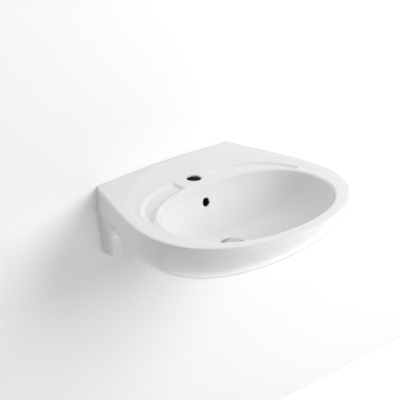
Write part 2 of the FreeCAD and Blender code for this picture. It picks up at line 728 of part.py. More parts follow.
TAIL_LENGTH = "(tail_drop - bowl_drop)"
BRIDGE_TOP = "(bowl_drop + bridge_drop)"
CUP_TOP = "(bowl_drop + bridge_drop - cartridge_above)"
FOOT_BASE = "(bowl_drop + bridge_drop - cartridge_above + stem_rest_gap + stem_foot_height)"
CUP_BASE = "(bowl_drop + bridge_drop - cartridge_above + cartridge_height)"
CAP_BASE = "(bowl_drop - plug_gap - plug_travel)"


def drain(thing, drop):
    """Stand a piece on the drain's axis, its base at a drop under the rim."""
    return place(thing, "0", "-drain_reach", "-(%s)" % drop)


def make_waste_body():
    """Flange, tail, overflow windows and the bridge that holds the cartridge."""
    body = turned("waste_body", [
        ("tail_bore", "0"), ("tail_radius - 1", "0"), ("tail_radius", "1"), ("tail_radius", "free_tail"),
        ("tail_radius - tail_groove", "free_tail + tail_groove"),
        ("tail_radius - tail_groove", "free_tail + 2 * tail_groove"),
        ("tail_radius", "free_tail + 3 * tail_groove"),
        ("tail_radius", TAIL_LENGTH + " - flange_thickness"), ("flange_radius", TAIL_LENGTH + " - flange_thickness"),
        ("flange_radius", TAIL_LENGTH + " - 1.2"), ("flange_radius - 1.2", TAIL_LENGTH),
        ("flange_radius - 3", TAIL_LENGTH), ("tail_bore + 2", TAIL_LENGTH + " - flange_dish"),
        ("tail_bore", TAIL_LENGTH + " - flange_dish - 1")])
    low = "tail_drop - duct_mouth_drop - duct_mouth_height / 2"
    high = "tail_drop - duct_mouth_drop + duct_mouth_height / 2"
    for name, role in (("window_back", "XZ_Plane"), ("window_side", "YZ_Plane")):
        slot_through(body, name, role, "window_half_width", low, high)

    level = "tail_drop - %s - bridge_height" % BRIDGE_TOP
    for number, spin in enumerate((45.0, 135.0), start=1):
        sketch = sketch_on(body, "XY_Plane", "bridge_arm_%d" % number, level, spin)
        long, half = "tail_bore + 1", "bridge_half_width"
        corners = [(value(long), value(half)), (-value(long), value(half)),
                   (-value(long), -value(half)), (value(long), -value(half))]
        points = [Vector(across, along, 0) for across, along in corners]
        for index, point in enumerate(points):
            sketch.addGeometry(Part.LineSegment(point, points[(index + 1) % 4]), False)
        for index in range(4):
            sketch.addConstraint(Sketcher.Constraint("Coincident", index, 2, (index + 1) % 4, 1))
            sketch.addConstraint(Sketcher.Constraint("Vertical" if index % 2 else "Horizontal", index))
        sketch.addConstraint(Sketcher.Constraint("Symmetric", 0, 1, 1, 2, -1, 1))
        for kind, formula in (("DistanceX", long), ("DistanceY", half)):
            index = sketch.addConstraint(Sketcher.Constraint(kind, -1, 1, 0, 1, value(formula)))
            bind(sketch, "Constraints[%d]" % index, formula)
        arm = body.newObject("PartDesign::Pad", "arm_%d" % number)
        arm.Profile = sketch
        bind(arm, "Length", "bridge_height")
        doc.recompute()
    for name, radius, kind in (("hub", "cartridge_radius + bridge_hub_wall", "Pad"),
                               ("hub_bore", "cartridge_radius", "Pocket")):
        sketch = sketch_on(body, "XY_Plane", name + "_circle", level)
        sketch.addGeometry(Part.Circle(Vector(0, 0, 0), Vector(0, 0, 1), value(radius)), False)
        sketch.addConstraint(Sketcher.Constraint("Coincident", 0, 3, -1, 1))
        index = sketch.addConstraint(Sketcher.Constraint("Radius", 0, value(radius)))
        bind(sketch, "Constraints[%d]" % index, radius)
        feature = body.newObject("PartDesign::" + kind, name)
        feature.Profile = sketch
        bind(feature, "Length", "bridge_height")
        feature.Reversed = kind == "Pocket"
        doc.recompute()
    return drain(body, "tail_drop")


def make_rings():
    """Seal, gasket, slip washer and back nut, stacked along the tail."""
    hole = "tail_radius + tail_clearance"
    seal = ring("flange_seal", hole, "flange_radius - 1", "seal_thickness")
    drain(seal, "bowl_drop + flange_thickness + seal_thickness")

    gasket = turned("under_gasket", [
        (hole, "0"), ("gasket_radius", "0"), ("gasket_radius - 1.5", "gasket_thickness"),
        ("drain_hole_radius - tail_clearance", "gasket_thickness"),
        ("drain_hole_radius - tail_clearance", "gasket_thickness + gasket_spigot"),
        (hole, "gasket_thickness + gasket_spigot")])
    drain(gasket, "hull_drop + gasket_thickness")

    slip = ring("slip_washer", hole, "slip_radius", "slip_thickness")
    drain(slip, "hull_drop + gasket_thickness + slip_thickness")

    nut = hex_nut("back_nut", "back_nut_radius", "back_nut_height", "tail_radius + bolt_clearance")
    drain(nut, "hull_drop + gasket_thickness + slip_thickness + back_nut_height")
    return [seal, gasket, slip, nut]


def make_cartridge():
    """The cup in the bridge, and the collar that guides the stem."""
    cup = turned("cartridge_cup", [
        ("0", "0"), ("cartridge_radius - 1", "0"), ("cartridge_radius", "1"),
        ("cartridge_radius", "cartridge_height"), ("cartridge_bore", "cartridge_height"),
        ("cartridge_bore", "cartridge_floor"), ("0", "cartridge_floor")])
    drain(cup, CUP_BASE)
    collar = turned("cartridge_collar", [
        ("stem_radius + stem_clearance", "0"), ("cartridge_radius", "0"),
        ("cartridge_radius", "collar_height - 0.5"), ("cartridge_radius - 0.5", "collar_height"),
        ("stem_radius + stem_clearance", "collar_height")])
    drain(collar, CUP_TOP)
    return [cup, collar]


def make_spring():
    """The spring between the cup's floor and the stem's foot."""
    wire, coil = value("spring_wire_radius"), value("spring_coil_radius")
    length = value("%s - %s - cartridge_floor" % (CUP_BASE, FOOT_BASE)) - 2 * wire
    helix = Part.makeHelix(length / value("spring_turns"), length, coil)
    section = Part.Wire([Part.makeCircle(wire, Vector(coil, 0, 0), Vector(0, 1, 0))])
    spring = doc.addObject("Part::Feature", "plug_spring")
    spring.Label = "plug_spring"
    spring.Shape = Part.Wire(helix.Edges).makePipeShell([section], True, True)
    return drain(spring, "%s - cartridge_floor - spring_wire_radius" % CUP_BASE)


def make_plug():
    """Stem, cap and seal ring: what a push lowers into the throat."""
    stem = turned("plug_stem", [
        ("0", "0"), ("stem_foot_radius", "0"), ("stem_foot_radius", "stem_foot_height"),
        ("stem_radius", "stem_foot_height"), ("stem_radius", "%s - %s" % (FOOT_BASE, CAP_BASE)),
        ("0", "%s - %s" % (FOOT_BASE, CAP_BASE))])
    drain(stem, FOOT_BASE)

    groove_low = "plug_skirt_height / 2 - ring_section_radius"
    groove_high = "plug_skirt_height / 2 + ring_section_radius"
    groove = "(tail_bore - ring_clearance - 2 * ring_section_radius)"
    cap = turned("plug_cap", [
        ("stem_radius", "0"), ("plug_skirt_radius - 1", "0"), ("plug_skirt_radius", "1"),
        ("plug_skirt_radius", groove_low), (groove, groove_low), (groove, groove_high),
        ("plug_skirt_radius", groove_high), ("plug_skirt_radius", "plug_skirt_height"),
        ("plug_cap_radius", "plug_skirt_height"), ("plug_cap_radius", "plug_skirt_height + plug_cap_height / 2"),
        ("plug_cap_radius - 1.5", "plug_skirt_height + plug_cap_height"),
        ("plug_cap_radius / 2", "plug_skirt_height + plug_cap_height + 0.7 * plug_crown"),
        ("0", "plug_skirt_height + plug_cap_height + plug_crown"), ("0", "plug_skirt_height"),
        ("stem_radius", "plug_skirt_height")])
    drain(cap, CAP_BASE + " + plug_skirt_height")

    seal = doc.addObject("Part::Torus", "plug_ring")
    seal.Label = "plug_ring"
    bind(seal, "Radius1", "tail_bore - ring_clearance - ring_section_radius")
    bind(seal, "Radius2", "ring_section_radius")
    drain(seal, CAP_BASE + " + plug_skirt_height / 2")
    return [stem, cap, seal]


# ---------------------------------------------------------------- build and write

def check(things):
    """Stop on any failed object or any node without a valid solid."""
    doc.recompute()
    for thing in doc.Objects:
        if "Invalid" in thing.State or "Error" in thing.State:
            raise RuntimeError("%s failed: %s" % (thing.Label, thing.State))
    for thing in things:
        shape = thing.Shape
        if shape.isNull() or not shape.isValid() or not shape.Solids:
            raise RuntimeError("%s has no valid solid" % thing.Label)


def main():
    """Build every sub-part and write one file for each."""
    nodes = [make_ceramic()]
    nodes += make_fixing("left", "-") + make_fixing("right", "")
    nodes += [make_waste_body()] + make_rings() + make_cartridge() + [make_spring()] + make_plug()
    check(nodes)
    os.makedirs("parts", exist_ok=True)
    for node in nodes:
        node.Shape.exportStep(os.path.join("parts", node.Label + ".step"))
        print("%-20s %10.2f cm3" % (node.Label, node.Shape.Volume / 1000))


main()
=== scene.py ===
"""A wall hung basin of glazed ceramic, with its wall fixings and its click waste.

Metres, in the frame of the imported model: +X across the basin, +Y into the wall, +Z up, with the
origin on the wall plane, in the middle of the basin, at the height of its rim.
"""
import logging
import math
from dataclasses import dataclass, field
from enum import Enum
from functools import reduce
from typing import Callable

import bpy
import numpy as np
from mathutils import Matrix, Vector
from numpy.polynomial import chebyshev


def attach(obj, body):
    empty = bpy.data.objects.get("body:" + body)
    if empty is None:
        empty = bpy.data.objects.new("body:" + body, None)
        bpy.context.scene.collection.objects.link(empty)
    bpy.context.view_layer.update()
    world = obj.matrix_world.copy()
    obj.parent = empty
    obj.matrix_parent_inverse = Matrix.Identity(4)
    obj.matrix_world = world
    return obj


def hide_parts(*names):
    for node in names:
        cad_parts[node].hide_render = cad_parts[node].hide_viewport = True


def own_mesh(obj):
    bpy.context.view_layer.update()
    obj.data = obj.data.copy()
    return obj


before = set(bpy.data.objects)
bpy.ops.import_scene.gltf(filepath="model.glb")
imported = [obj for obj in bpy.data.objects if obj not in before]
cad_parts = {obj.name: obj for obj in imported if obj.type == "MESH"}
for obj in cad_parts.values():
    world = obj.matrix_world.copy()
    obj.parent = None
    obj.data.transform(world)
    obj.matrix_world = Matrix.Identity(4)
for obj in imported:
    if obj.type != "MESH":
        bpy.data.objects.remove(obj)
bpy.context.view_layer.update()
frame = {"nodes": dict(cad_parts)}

MM = 0.001
TINY = 1e-9
LEAST = 0.01

log = logging.getLogger("basin")

Array = np.ndarray
Form = Callable[[Array], Array]
Spot = tuple[float, float, float]
Piece = bpy.types.Object
Socket = bpy.types.NodeSocket


# ---------------- signed distances, negative inside a form

def round_join(first: Array, second: Array, radius: float | Array) -> Array:
    """Both forms as one, with a hollow fillet where they meet.

    Formula: outside both, the distance to a circle of that radius which touches the two skins.
    """
    near_first = np.maximum(radius - first, 0.0)
    near_second = np.maximum(radius - second, 0.0)
    return np.maximum(radius, np.minimum(first, second)) - np.hypot(near_first, near_second)


def round_meet(first: Array, second: Array, radius: float | Array) -> Array:
    """What both forms share, with a rounded edge where their skins meet."""
    past_first = np.maximum(radius + first, 0.0)
    past_second = np.maximum(radius + second, 0.0)
    return np.minimum(-radius, np.maximum(first, second)) + np.hypot(past_first, past_second)


def carve(body: Array, tool: Array, radius: float) -> Array:
    """The body without the tool, with a rounded edge round the cut."""
    return round_meet(body, -tool, radius)


def common(*forms: Array) -> Array:
    """What all the forms share, with sharp edges."""
    return reduce(np.maximum, forms)


def halves(points: Array) -> tuple[Array, Array, Array]:
    """How far each point lies beside the middle plane, and its y and z."""
    return np.abs(points[:, 0]), points[:, 1], points[:, 2]


def superellipse(across: Array, along: Array, power: float) -> Array:
    """How far out a point lies, as a share of a superellipse whose half axes are 1."""
    return (across ** power + along ** power) ** (1.0 / power)


def as_distance(raw: Form, points: Array, step: float = 0.3 * MM) -> Array:
    """A field that is zero on a surface, scaled to a distance near it.

    Formula: the field divided by the length of its slope, which is taken from four
    points at the corners of a small tetrahedron.

    Args:
        raw: The field.
        points: Rows of x, y and z.
        step: Half of the tetrahedron's size.

    Returns:
        The signed distance at each point.
    """
    slope = slope_of(raw, points, step)
    return raw(points) / np.maximum(np.linalg.norm(slope, axis=1), TINY)


def slope_of(form: Form, points: Array, step: float = 0.3 * MM) -> Array:
    """The gradient of a field, from the four corners of a small tetrahedron."""
    slope = np.zeros_like(points)
    for corner in ((1, -1, -1), (-1, -1, 1), (-1, 1, -1), (1, 1, 1)):
        way = np.array(corner, dtype=float)
        slope += form(points + step * way)[:, None] * way
    return slope / (4.0 * step)


def keeps(share: Array, power: float, root: float) -> Array:
    """The share of its width that a wall keeps at a share of its depth."""
    return np.maximum(1.0 - np.clip(share, 0.0, 1.0) ** power, TINY) ** (1.0 / root)


def eased(share: Array) -> Array:
    """A smooth step from 0 to 1."""
    held = np.clip(share, 0.0, 1.0)
    return held * held * (3.0 - 2.0 * held)


# ---------------- the ceramic

@dataclass
class Casting:
    """The fired basin, as a field of signed distances with soft, glazed edges."""

    half_width: float = 275.5 * MM
    corner_half_width: float = 203.0 * MM
    widest_reach: float = 262.0 * MM
    front_reach: float = 467.0 * MM
    front_power: float = 2.185
    side_knee: float = 0.3
    side_fall: float = 3.0
    side_root: float = 1.95
    front_fall: float = 1.7
    front_root: float = 1.9
    back_overlap: float = 6.0 * MM
    back_edge: float = 5.0 * MM
    rim_band: float = 12.0 * MM
    rim_edge: float = 5.0 * MM
    boss_drop: float = 152.0 * MM
    boss_edge: float = 4.0 * MM
    hull_pole: float = 155.0 * MM
    ledge_rise: float = 6.0 * MM
    ledge_run: float = 150.0 * MM
    ledge_half: float = 227.4 * MM
    bowl_half_width: float = 220.0 * MM
    bowl_centre_reach: float = 290.0 * MM
    bowl_front_run: float = 152.0 * MM
    bowl_back_run: float = 146.0 * MM
    bowl_power: float = 2.2
    bowl_drop: float = 126.0 * MM
    bowl_wall_power: float = 2.6
    bowl_lip: float = 7.0 * MM
    dish_half_width: float = 268.0 * MM
    dish_back_run: float = 258.0 * MM
    dish_power: float = 2.2
    dish_centre_reach: float = 265.0 * MM
    dish_edge: float = 3.0 * MM
    foot_half_width: float = 236.0 * MM
    foot_back_run: float = 180.0 * MM
    foot_power: float = 2.5
    dish_wall: float = 11.0 * MM
    dish_hollow: float = 2.2
    dish_hinge_reach: float = 300.0 * MM
    dish_slope: float = math.radians(0.8)
    tap_reach: float = 105.0 * MM
    tap_hole_radius: float = 17.5 * MM
    tap_seat_half_width: float = 50.0 * MM
    tap_edge: float = 1.2 * MM
    soap_drop: float = 8.5 * MM
    soap_margin: float = 4.0 * MM
    soap_lip: float = 12.0 * MM
    soap_draft: float = 0.82
    soap_end_reach: float = 225.0 * MM
    soap_corner: float = 9.0 * MM
    soap_fillet: float = 4.0 * MM
    soap_edge: float = 3.0 * MM
    pier_inner: float = 158.0 * MM
    pier_top: float = 206.0 * MM
    pier_foot: float = 192.0 * MM
    pier_depth: float = 40.0 * MM
    pier_drop: float = 174.0 * MM
    pier_shoulder: float = 60.0 * MM
    pier_edges: Spot = (7.0 * MM, 3.0 * MM, 2.0 * MM)
    flow_least: float = 14.0 * MM
    flow_more: float = 12.0 * MM
    flow_reach: float = 12.0 * MM
    flow_run: float = 30.0 * MM
    flow_loss: float = 0.85
    flow_drop: float = 112.0 * MM
    flow_fall: float = 35.0 * MM
    plate: float = 14.0 * MM
    plate_drop: float = 126.0 * MM
    plate_fillet: float = 3.0 * MM
    well_reach: float = 125.0 * MM
    wall: float = 10.0 * MM
    wall_edge: float = 1.5 * MM
    hollow_roof: float = 18.0 * MM
    hollow_floor: float = 118.0 * MM
    hollow_front: float = 330.0 * MM
    hollow_fillet: float = 4.0 * MM
    hollow_edge: float = 2.0 * MM
    drain_reach: float = 245.0 * MM
    drain_radius: float = 23.0 * MM
    seat_radius: float = 32.5 * MM
    seat_drop: float = 131.0 * MM
    overflow_drop: float = 50.0 * MM
    overflow_radius: float = 10.0 * MM
    overflow_edge: float = 1.5 * MM
    duct_half_width: float = 12.0 * MM
    duct_wall: float = 8.0 * MM
    duct_depth: float = 10.0 * MM
    duct_top: float = 39.0 * MM
    duct_mouth_drop: float = 141.0 * MM
    duct_mouth_half: float = 5.0 * MM
    duct_mouth_reach: float = 430.0 / 3.0 * MM
    fixing_half_spacing: float = 140.0 * MM
    fixing_drop: float = 100.0 * MM
    fixing_radius: float = 8.0 * MM
    hole_edge: float = 1.0 * MM
    slack: float = 2.0 * MM
    mouth: Array = field(init=False)

    def __post_init__(self) -> None:
        """Fit the mouth's reach about the drain to a short series of cosines."""
        turn = np.linspace(-math.pi / 2, math.pi / 2, 4001)
        run = np.where(turn > 0, self.bowl_back_run, self.bowl_front_run)
        across = self.bowl_half_width * np.abs(np.cos(turn)) ** (2 / self.bowl_power)
        along = np.sign(turn) * run * np.abs(np.sin(turn)) ** (2 / self.bowl_power)
        ahead = self.bowl_centre_reach - along - self.drain_reach
        angle = np.arctan2(across, ahead)
        terms, samples = 48, 1024
        middle = (np.arange(samples) + 0.5) * math.pi / samples
        reach = np.interp(middle, angle, np.hypot(across, ahead))
        waves = np.cos(np.arange(terms)[:, None] * middle[None, :])
        self.mouth = waves @ reach * 2.0 / samples
        self.mouth[0] /= 2.0

    def hull_raw(self, points: Array, inset: float = 0.0) -> Array:
        """The hull's skin: a superellipse in front of its widest line, a hyperbola behind it.

        Formula: both curves draw in with depth. In front, the field is the distance along the
        ray from the widest line's middle. Behind, it is the distance across to the side, and
        the sloping back closes it.

        Args:
            points: Rows of x, y and z.
            inset: How far the section is moved inwards.

        Returns:
            The field, negative inside.
        """
        across, along, up = halves(points)
        share = (-up - self.rim_band) / (self.hull_pole - inset - self.rim_band)
        share = np.clip(share, 0.0, 0.999)
        side = keeps(share, self.side_fall, self.side_root)
        front = keeps(share, self.front_fall, self.front_root)
        half = self.half_width * side - inset
        corner = self.corner_half_width * side - inset
        widest = -(self.widest_reach + (self.drain_reach - self.widest_reach) * share)
        run = (self.front_reach - self.widest_reach) * front - inset
        outer = inset == 0.0
        back = -self.drain_reach * (1.0 - side) - inset + self.back_overlap * outer
        ahead = np.maximum(widest - along, 0.0)
        gauge = superellipse(across / np.maximum(half, MM), ahead / np.maximum(run, MM),
                             self.front_power)
        in_front = np.hypot(across, ahead) * (1.0 - 1.0 / np.maximum(gauge, LEAST))
        fall = np.clip((along - widest) / np.maximum(back - widest, MM), 0.0, 1.2)
        knee = self.side_knee
        run_in = (np.hypot(1.0, fall / knee) - 1.0) / (math.hypot(1.0, 1.0 / knee) - 1.0)
        beside = across - (half + (corner - half) * run_in)
        side_skin = np.where(along < widest, in_front, beside)
        if outer:
            return round_meet(side_skin, along - back, self.back_edge)
        return np.maximum(side_skin, along - back)

    def from_drain(self, points: Array) -> tuple[Array, Array]:
        """Each point's distance from the drain's axis, and the mouth's in that direction."""
        along = points[:, 1] + self.drain_reach
        reach = np.hypot(points[:, 0], along) + TINY
        return reach, chebyshev.chebval(-along / reach, self.mouth)

    def bowl_raw(self, points: Array) -> Array:
        """The bowl's air: sections that draw in about the drain, as an egg's do.

        Formula: the share of the mouth's reach, squared, and the share of the depth, to the
        power of the wall's steepness, add up to one on the bowl's surface.
        """
        reach, mouth = self.from_drain(points)
        depth = np.maximum(-points[:, 2] / self.bowl_drop, 0.0)
        return np.sqrt((reach / mouth) ** 2 + depth ** self.bowl_wall_power) - 1.0

    def lid_raw(self, points: Array) -> Array:
        """The rim's plane, which rises along the wall in the middle."""
        across, along, up = halves(points)
        near = np.clip(1.0 + along / self.ledge_run, 0.0, 1.0)
        crown = self.ledge_rise * (1.0 - np.cos(math.pi * near)) / 2.0
        bell = np.cos(math.pi / 2 * np.minimum(across / self.ledge_half, 1.0)) ** 2
        return up - crown * bell

    def foot_gauge(self, across: Array, behind: Array) -> Array:
        """How far out a point lies, as a share of the deck floor's outline."""
        gauge = superellipse(across / self.foot_half_width, behind / self.foot_back_run,
                             self.foot_power)
        return np.maximum(gauge, LEAST)

    def dish_raw(self, points: Array) -> Array:
        """The sunken deck: a sloping floor whose hollow wall rises outwards to the rim."""
        across, along, up = halves(points)
        behind = np.maximum(along + self.dish_centre_reach, 0.0)
        foot = self.foot_gauge(across, behind)
        top = np.maximum(superellipse(across / self.dish_half_width, behind / self.dish_back_run,
                                      self.dish_power), LEAST)
        out = (1.0 - 1.0 / foot) / np.maximum(1.0 / top - 1.0 / foot, LEAST)
        floor = -(along + self.dish_hinge_reach) * math.tan(self.dish_slope)
        return up - floor - self.dish_wall * np.clip(out, 0.0, 3.0) ** self.dish_hollow

    def soap_air(self, points: Array) -> Array:
        """The two soap dishes between the deck's foot and the mouth of the bowl."""
        across, along, up = halves(points)
        reach, mouth = self.from_drain(points)
        behind = np.maximum(along + self.dish_centre_reach, 0.0)
        from_foot = np.hypot(across, behind) * (1.0 - 1.0 / self.foot_gauge(across, behind))
        plan = self.soap_lip - (reach - mouth)
        for edge in (from_foot + self.soap_margin, self.tap_seat_half_width - across,
                     -along - self.soap_end_reach):
            plan = round_meet(plan, edge, self.soap_corner)
        walls = (plan - self.soap_draft * up) / math.hypot(1.0, self.soap_draft)
        return round_meet(walls, -up - self.soap_drop, self.soap_fillet)

    def pier(self, points: Array) -> Array:
        """The two legs against the wall that carry the fixings."""
        across, along, up = halves(points)
        below = (-up - self.pier_shoulder) / (self.pier_drop - self.pier_shoulder)
        above = (self.pier_shoulder + up) / (self.pier_shoulder - self.hollow_roof)
        drawn_in = np.maximum(np.clip(below, 0.0, 1.5), np.clip(above, 0.0, 1.0))
        body = across - (self.pier_top - (self.pier_top - self.pier_foot) * drawn_in)
        sides = (-along - self.pier_depth, -up - self.pier_drop, self.pier_inner - across)
        for side, edge in zip(sides, self.pier_edges):
            body = round_meet(body, side, edge)
        return np.maximum(body, up + self.hollow_roof)

    def holes(self, points: Array, bowl: Array) -> list[tuple[Array, float]]:
        """Every hole with the radius of its glazed edge.

        Args:
            points: Rows of x, y and z.
            bowl: Distance to the bowl's surface, negative in its air.

        Returns:
            Pairs of a hole's signed distance and an edge radius.
        """
        across, along, up = halves(points)
        past_middle = bowl - self.duct_wall - self.duct_depth / 2
        beside, ahead = across - self.duct_half_width, -along - self.drain_reach
        tap = common(np.hypot(across, along + self.tap_reach) - self.tap_hole_radius,
                     -up - 2 * self.hollow_roof)
        drain = np.hypot(across, along + self.drain_reach)
        seat = common(drain - self.seat_radius, -up - self.seat_drop)
        overflow = common(np.hypot(across, up + self.overflow_drop) - self.overflow_radius,
                          past_middle, -along - self.bowl_centre_reach)
        duct = common(np.abs(past_middle) - self.duct_depth / 2, beside, ahead, up + self.duct_top,
                      -up - self.duct_mouth_drop - self.duct_mouth_half)
        slot = common(np.abs(up + self.duct_mouth_drop) - self.duct_mouth_half, beside, ahead,
                      bowl - 2.2 * self.duct_wall, along + self.duct_mouth_reach)
        bolt = np.hypot(across - self.fixing_half_spacing, up + self.fixing_drop)
        bolt = common(bolt - self.fixing_radius, -along - 2 * self.plate)
        plain = [(hole, self.hole_edge) for hole in (drain - self.drain_radius, seat)]
        return ([(tap, self.tap_edge)] + plain + [(overflow, self.overflow_edge)]
                + [(hole, self.hole_edge) for hole in (duct, slot, bolt)])

    def inside(self, points: Array) -> tuple[Array, Array]:
        """Which points lie in the hollow, and which get the near-black painted shade in a hole.

        Args:
            points: Rows of x, y and z on the surface.

        Returns:
            The mask of the cast hollow, and that of the duct, the overflow hole's wall and the
            lower part of the tap hole, which are painted near black as shade.
        """
        across, along, up = halves(points)
        slack = self.slack
        bowl = as_distance(self.bowl_raw, points)
        inner = as_distance(lambda spots: self.hull_raw(spots, self.wall / 2), points)
        hollow = (bowl > self.wall / 2) & (up < slack - self.hollow_roof) & (inner < 0)
        hollow &= (along < slack - self.plate) & (up > slack - self.pier_drop)
        duct = np.abs(bowl - self.duct_wall - self.duct_depth / 2) < self.duct_depth / 2 + slack
        duct &= (across < self.duct_half_width + slack) & (up < slack - self.duct_top)
        duct &= along > -self.drain_reach + self.drain_radius
        # Painted shade: the overflow hole's wall and the tap hole below a third of the roof depth
        # are marked dark in place of their shade.
        overflow = np.hypot(across, up + self.overflow_drop) < self.overflow_radius + MM
        overflow &= (bowl > slack) & (bowl < self.duct_wall + slack) & (along > -self.drain_reach)
        tap = np.hypot(across, along + self.tap_reach) < self.tap_hole_radius + MM
        return hollow, duct | overflow | (tap & (up < -self.hollow_roof / 3))

    def outside(self, points: Array, bowl: Array) -> Array:
        """Hull and piers, which flow into each other, without lid, deck, bowl and soap dishes."""
        along, up = points[:, 1], points[:, 2]
        shape = as_distance(self.hull_raw, points)
        shape = round_meet(shape, -up - self.boss_drop, self.boss_edge)
        flow = self.flow_least + self.flow_more * eased((-along - self.flow_reach) / self.flow_run)
        flow = flow * (1.0 - self.flow_loss * eased((-up - self.flow_drop) / self.flow_fall))
        shape = round_join(shape, self.pier(points), flow)
        shape = round_meet(shape, self.lid_raw(points), self.rim_edge)
        shape = round_meet(shape, as_distance(self.dish_raw, points), self.dish_edge)
        shape = carve(shape, bowl, self.bowl_lip)
        return carve(shape, self.soap_air(points), self.soap_edge)

    def cavity(self, points: Array, bowl: Array) -> Array:
        """The cast hollow: a ring round the bowl, and the open well behind it."""
        across, along, up = halves(points)
        inner = as_distance(lambda spots: self.hull_raw(spots, self.wall), points)
        ring = round_meet(inner, common(up + self.hollow_roof, -up - self.hollow_floor),
                          self.hollow_fillet)
        ring = common(ring, -along - self.hollow_front)
        well = common(across - self.pier_inner, -along - self.well_reach, up + self.hollow_roof,
                      along + self.plate)
        both = round_join(ring, well, self.plate_fillet)
        return round_meet(both, self.wall - bowl, self.hollow_fillet)

    def body(self, points: Array) -> Array:
        """Signed distance to the whole casting.

        Formula: the outside without the hollow, joined with the plate on the wall and the
        duct's rib, then without every hole and what lies behind the wall plane.

        Args:
            points: Rows of x, y and z.

        Returns:
            The signed distance, negative in the ceramic.
        """
        across, along, up = halves(points)
        bowl = as_distance(self.bowl_raw, points)
        shape = carve(self.outside(points, bowl), self.cavity(points, bowl), self.hollow_edge)
        plate = common(across - self.pier_inner - self.slack, -along - self.plate,
                       up + self.hollow_roof / 2, -up - self.plate_drop)
        shape = round_join(shape, plate, self.plate_fillet)
        rib = round_meet(across - self.duct_half_width - self.duct_wall,
                         bowl - 2 * self.duct_wall - self.duct_depth, self.hollow_fillet)
        rib = common(rib, up + self.duct_top - self.duct_wall / 2, -bowl + self.duct_wall / 2,
                     -up - self.duct_mouth_drop - self.duct_mouth_half - MM,
                     -along - self.drain_reach + self.drain_radius + self.seat_radius / 2)
        shape = round_join(shape, rib, self.hollow_fillet)
        for hole, edge in self.holes(points, bowl):
            shape = carve(shape, hole, edge)
        return round_meet(shape, along, self.wall_edge)


# ---------------- field to mesh

CORNERS = np.array([[number >> axis & 1 for axis in range(3)] for number in range(8)])
EDGES = [(start, start | bit) for bit in (1, 2, 4) for start in range(8) if not start & bit]
BATCH = 200_000
NEAR_CELLS = 3.2


def sample(form: Form, low: Array, counts: Array, cell: float) -> Array:
    """The form on a regular grid, worked out closely only near its surface.

    A grid of twice the cell is filled first. The fine grid takes its values from there, and is
    worked out again wherever the surface may be within reach.

    Args:
        form: Signed distance.
        low: The grid's lowest corner.
        counts: Points along each axis, all odd.
        cell: Size of a cell.

    Returns:
        The values, with three axes.
    """
    def lay(indices: Array) -> Array:
        values = np.empty(len(indices))
        for start in range(0, len(indices), BATCH):
            values[start:start + BATCH] = form(low + indices[start:start + BATCH] * cell)
        return values

    axes = [np.arange(0, count, 2) for count in counts]
    coarse_points = np.stack(np.meshgrid(*axes, indexing="ij"), axis=-1).reshape(-1, 3)
    coarse = lay(coarse_points).reshape([len(axis) for axis in axes])
    fine = coarse
    for axis, count in enumerate(counts):
        fine = np.repeat(fine, 2, axis=axis).take(np.arange(count), axis=axis)
    near = np.argwhere(np.abs(fine) < NEAR_CELLS * cell)
    fine[tuple(near.T)] = lay(near)
    return fine


def surface_net(values: Array, low: Array, cell: float) -> tuple[Array, Array]:
    """The surface where a grid of values changes sign.

    Formula: a cell that the surface crosses gets one vertex, the mean of the crossings on its
    twelve edges, and each grid edge with a crossing gets the quad of its four cells.

    Args:
        values: Signed distances with three axes.
        low: The grid's lowest corner.
        cell: Size of a cell.

    Returns:
        Vertices and quads, whose faces point to the positive side.
    """
    shape = np.array(values.shape) - 1
    corner = [values[tuple(slice(c, c + n) for c, n in zip(offset, shape))] for offset in CORNERS]
    below = np.stack([one < 0 for one in corner])
    crossed = below.any(axis=0) & ~below.all(axis=0)
    spots = np.argwhere(crossed)
    at = tuple(spots.T)
    heights = [one[at] for one in corner]
    total, hits = np.zeros((len(spots), 3)), np.zeros(len(spots))
    for start, end in EDGES:
        crosses = (heights[start] < 0) != (heights[end] < 0)
        share = heights[start] / np.where(crosses, heights[start] - heights[end], 1.0)
        place = CORNERS[start] + share[:, None] * (CORNERS[end] - CORNERS[start])
        total += np.where(crosses[:, None], place, 0.0)
        hits += crosses
    vertices = low + (spots + total / hits[:, None]) * cell
    number = np.full(shape, -1)
    number[at] = np.arange(len(spots))

    quads = []
    for axis in range(3):
        side, lift = (axis + 1) % 3, (axis + 2) % 3
        ends = [slice(1, -1)] * 3
        ends[axis] = slice(0, -1)
        first = values[tuple(ends)] < 0
        ends[axis] = slice(1, None)
        second = values[tuple(ends)] < 0
        for outward, change in ((True, first & ~second), (False, second & ~first)):
            grid = np.argwhere(change)
            grid[:, side] += 1
            grid[:, lift] += 1
            ring = []
            for step_side, step_lift in ((-1, -1), (0, -1), (0, 0), (-1, 0)):
                cells_at = grid.copy()
                cells_at[:, side] += step_side
                cells_at[:, lift] += step_lift
                ring.append(number[tuple(cells_at.T)])
            quad = np.stack(ring, axis=1)
            quads.append(quad if outward else quad[:, ::-1])
    return vertices, np.concatenate(quads)


def stand(name: str, shape: bpy.types.ID) -> Piece:
    """A new object in the scene, at the origin."""
    piece = bpy.data.objects.new(name, shape)
    bpy.context.scene.collection.objects.link(piece)
    return piece


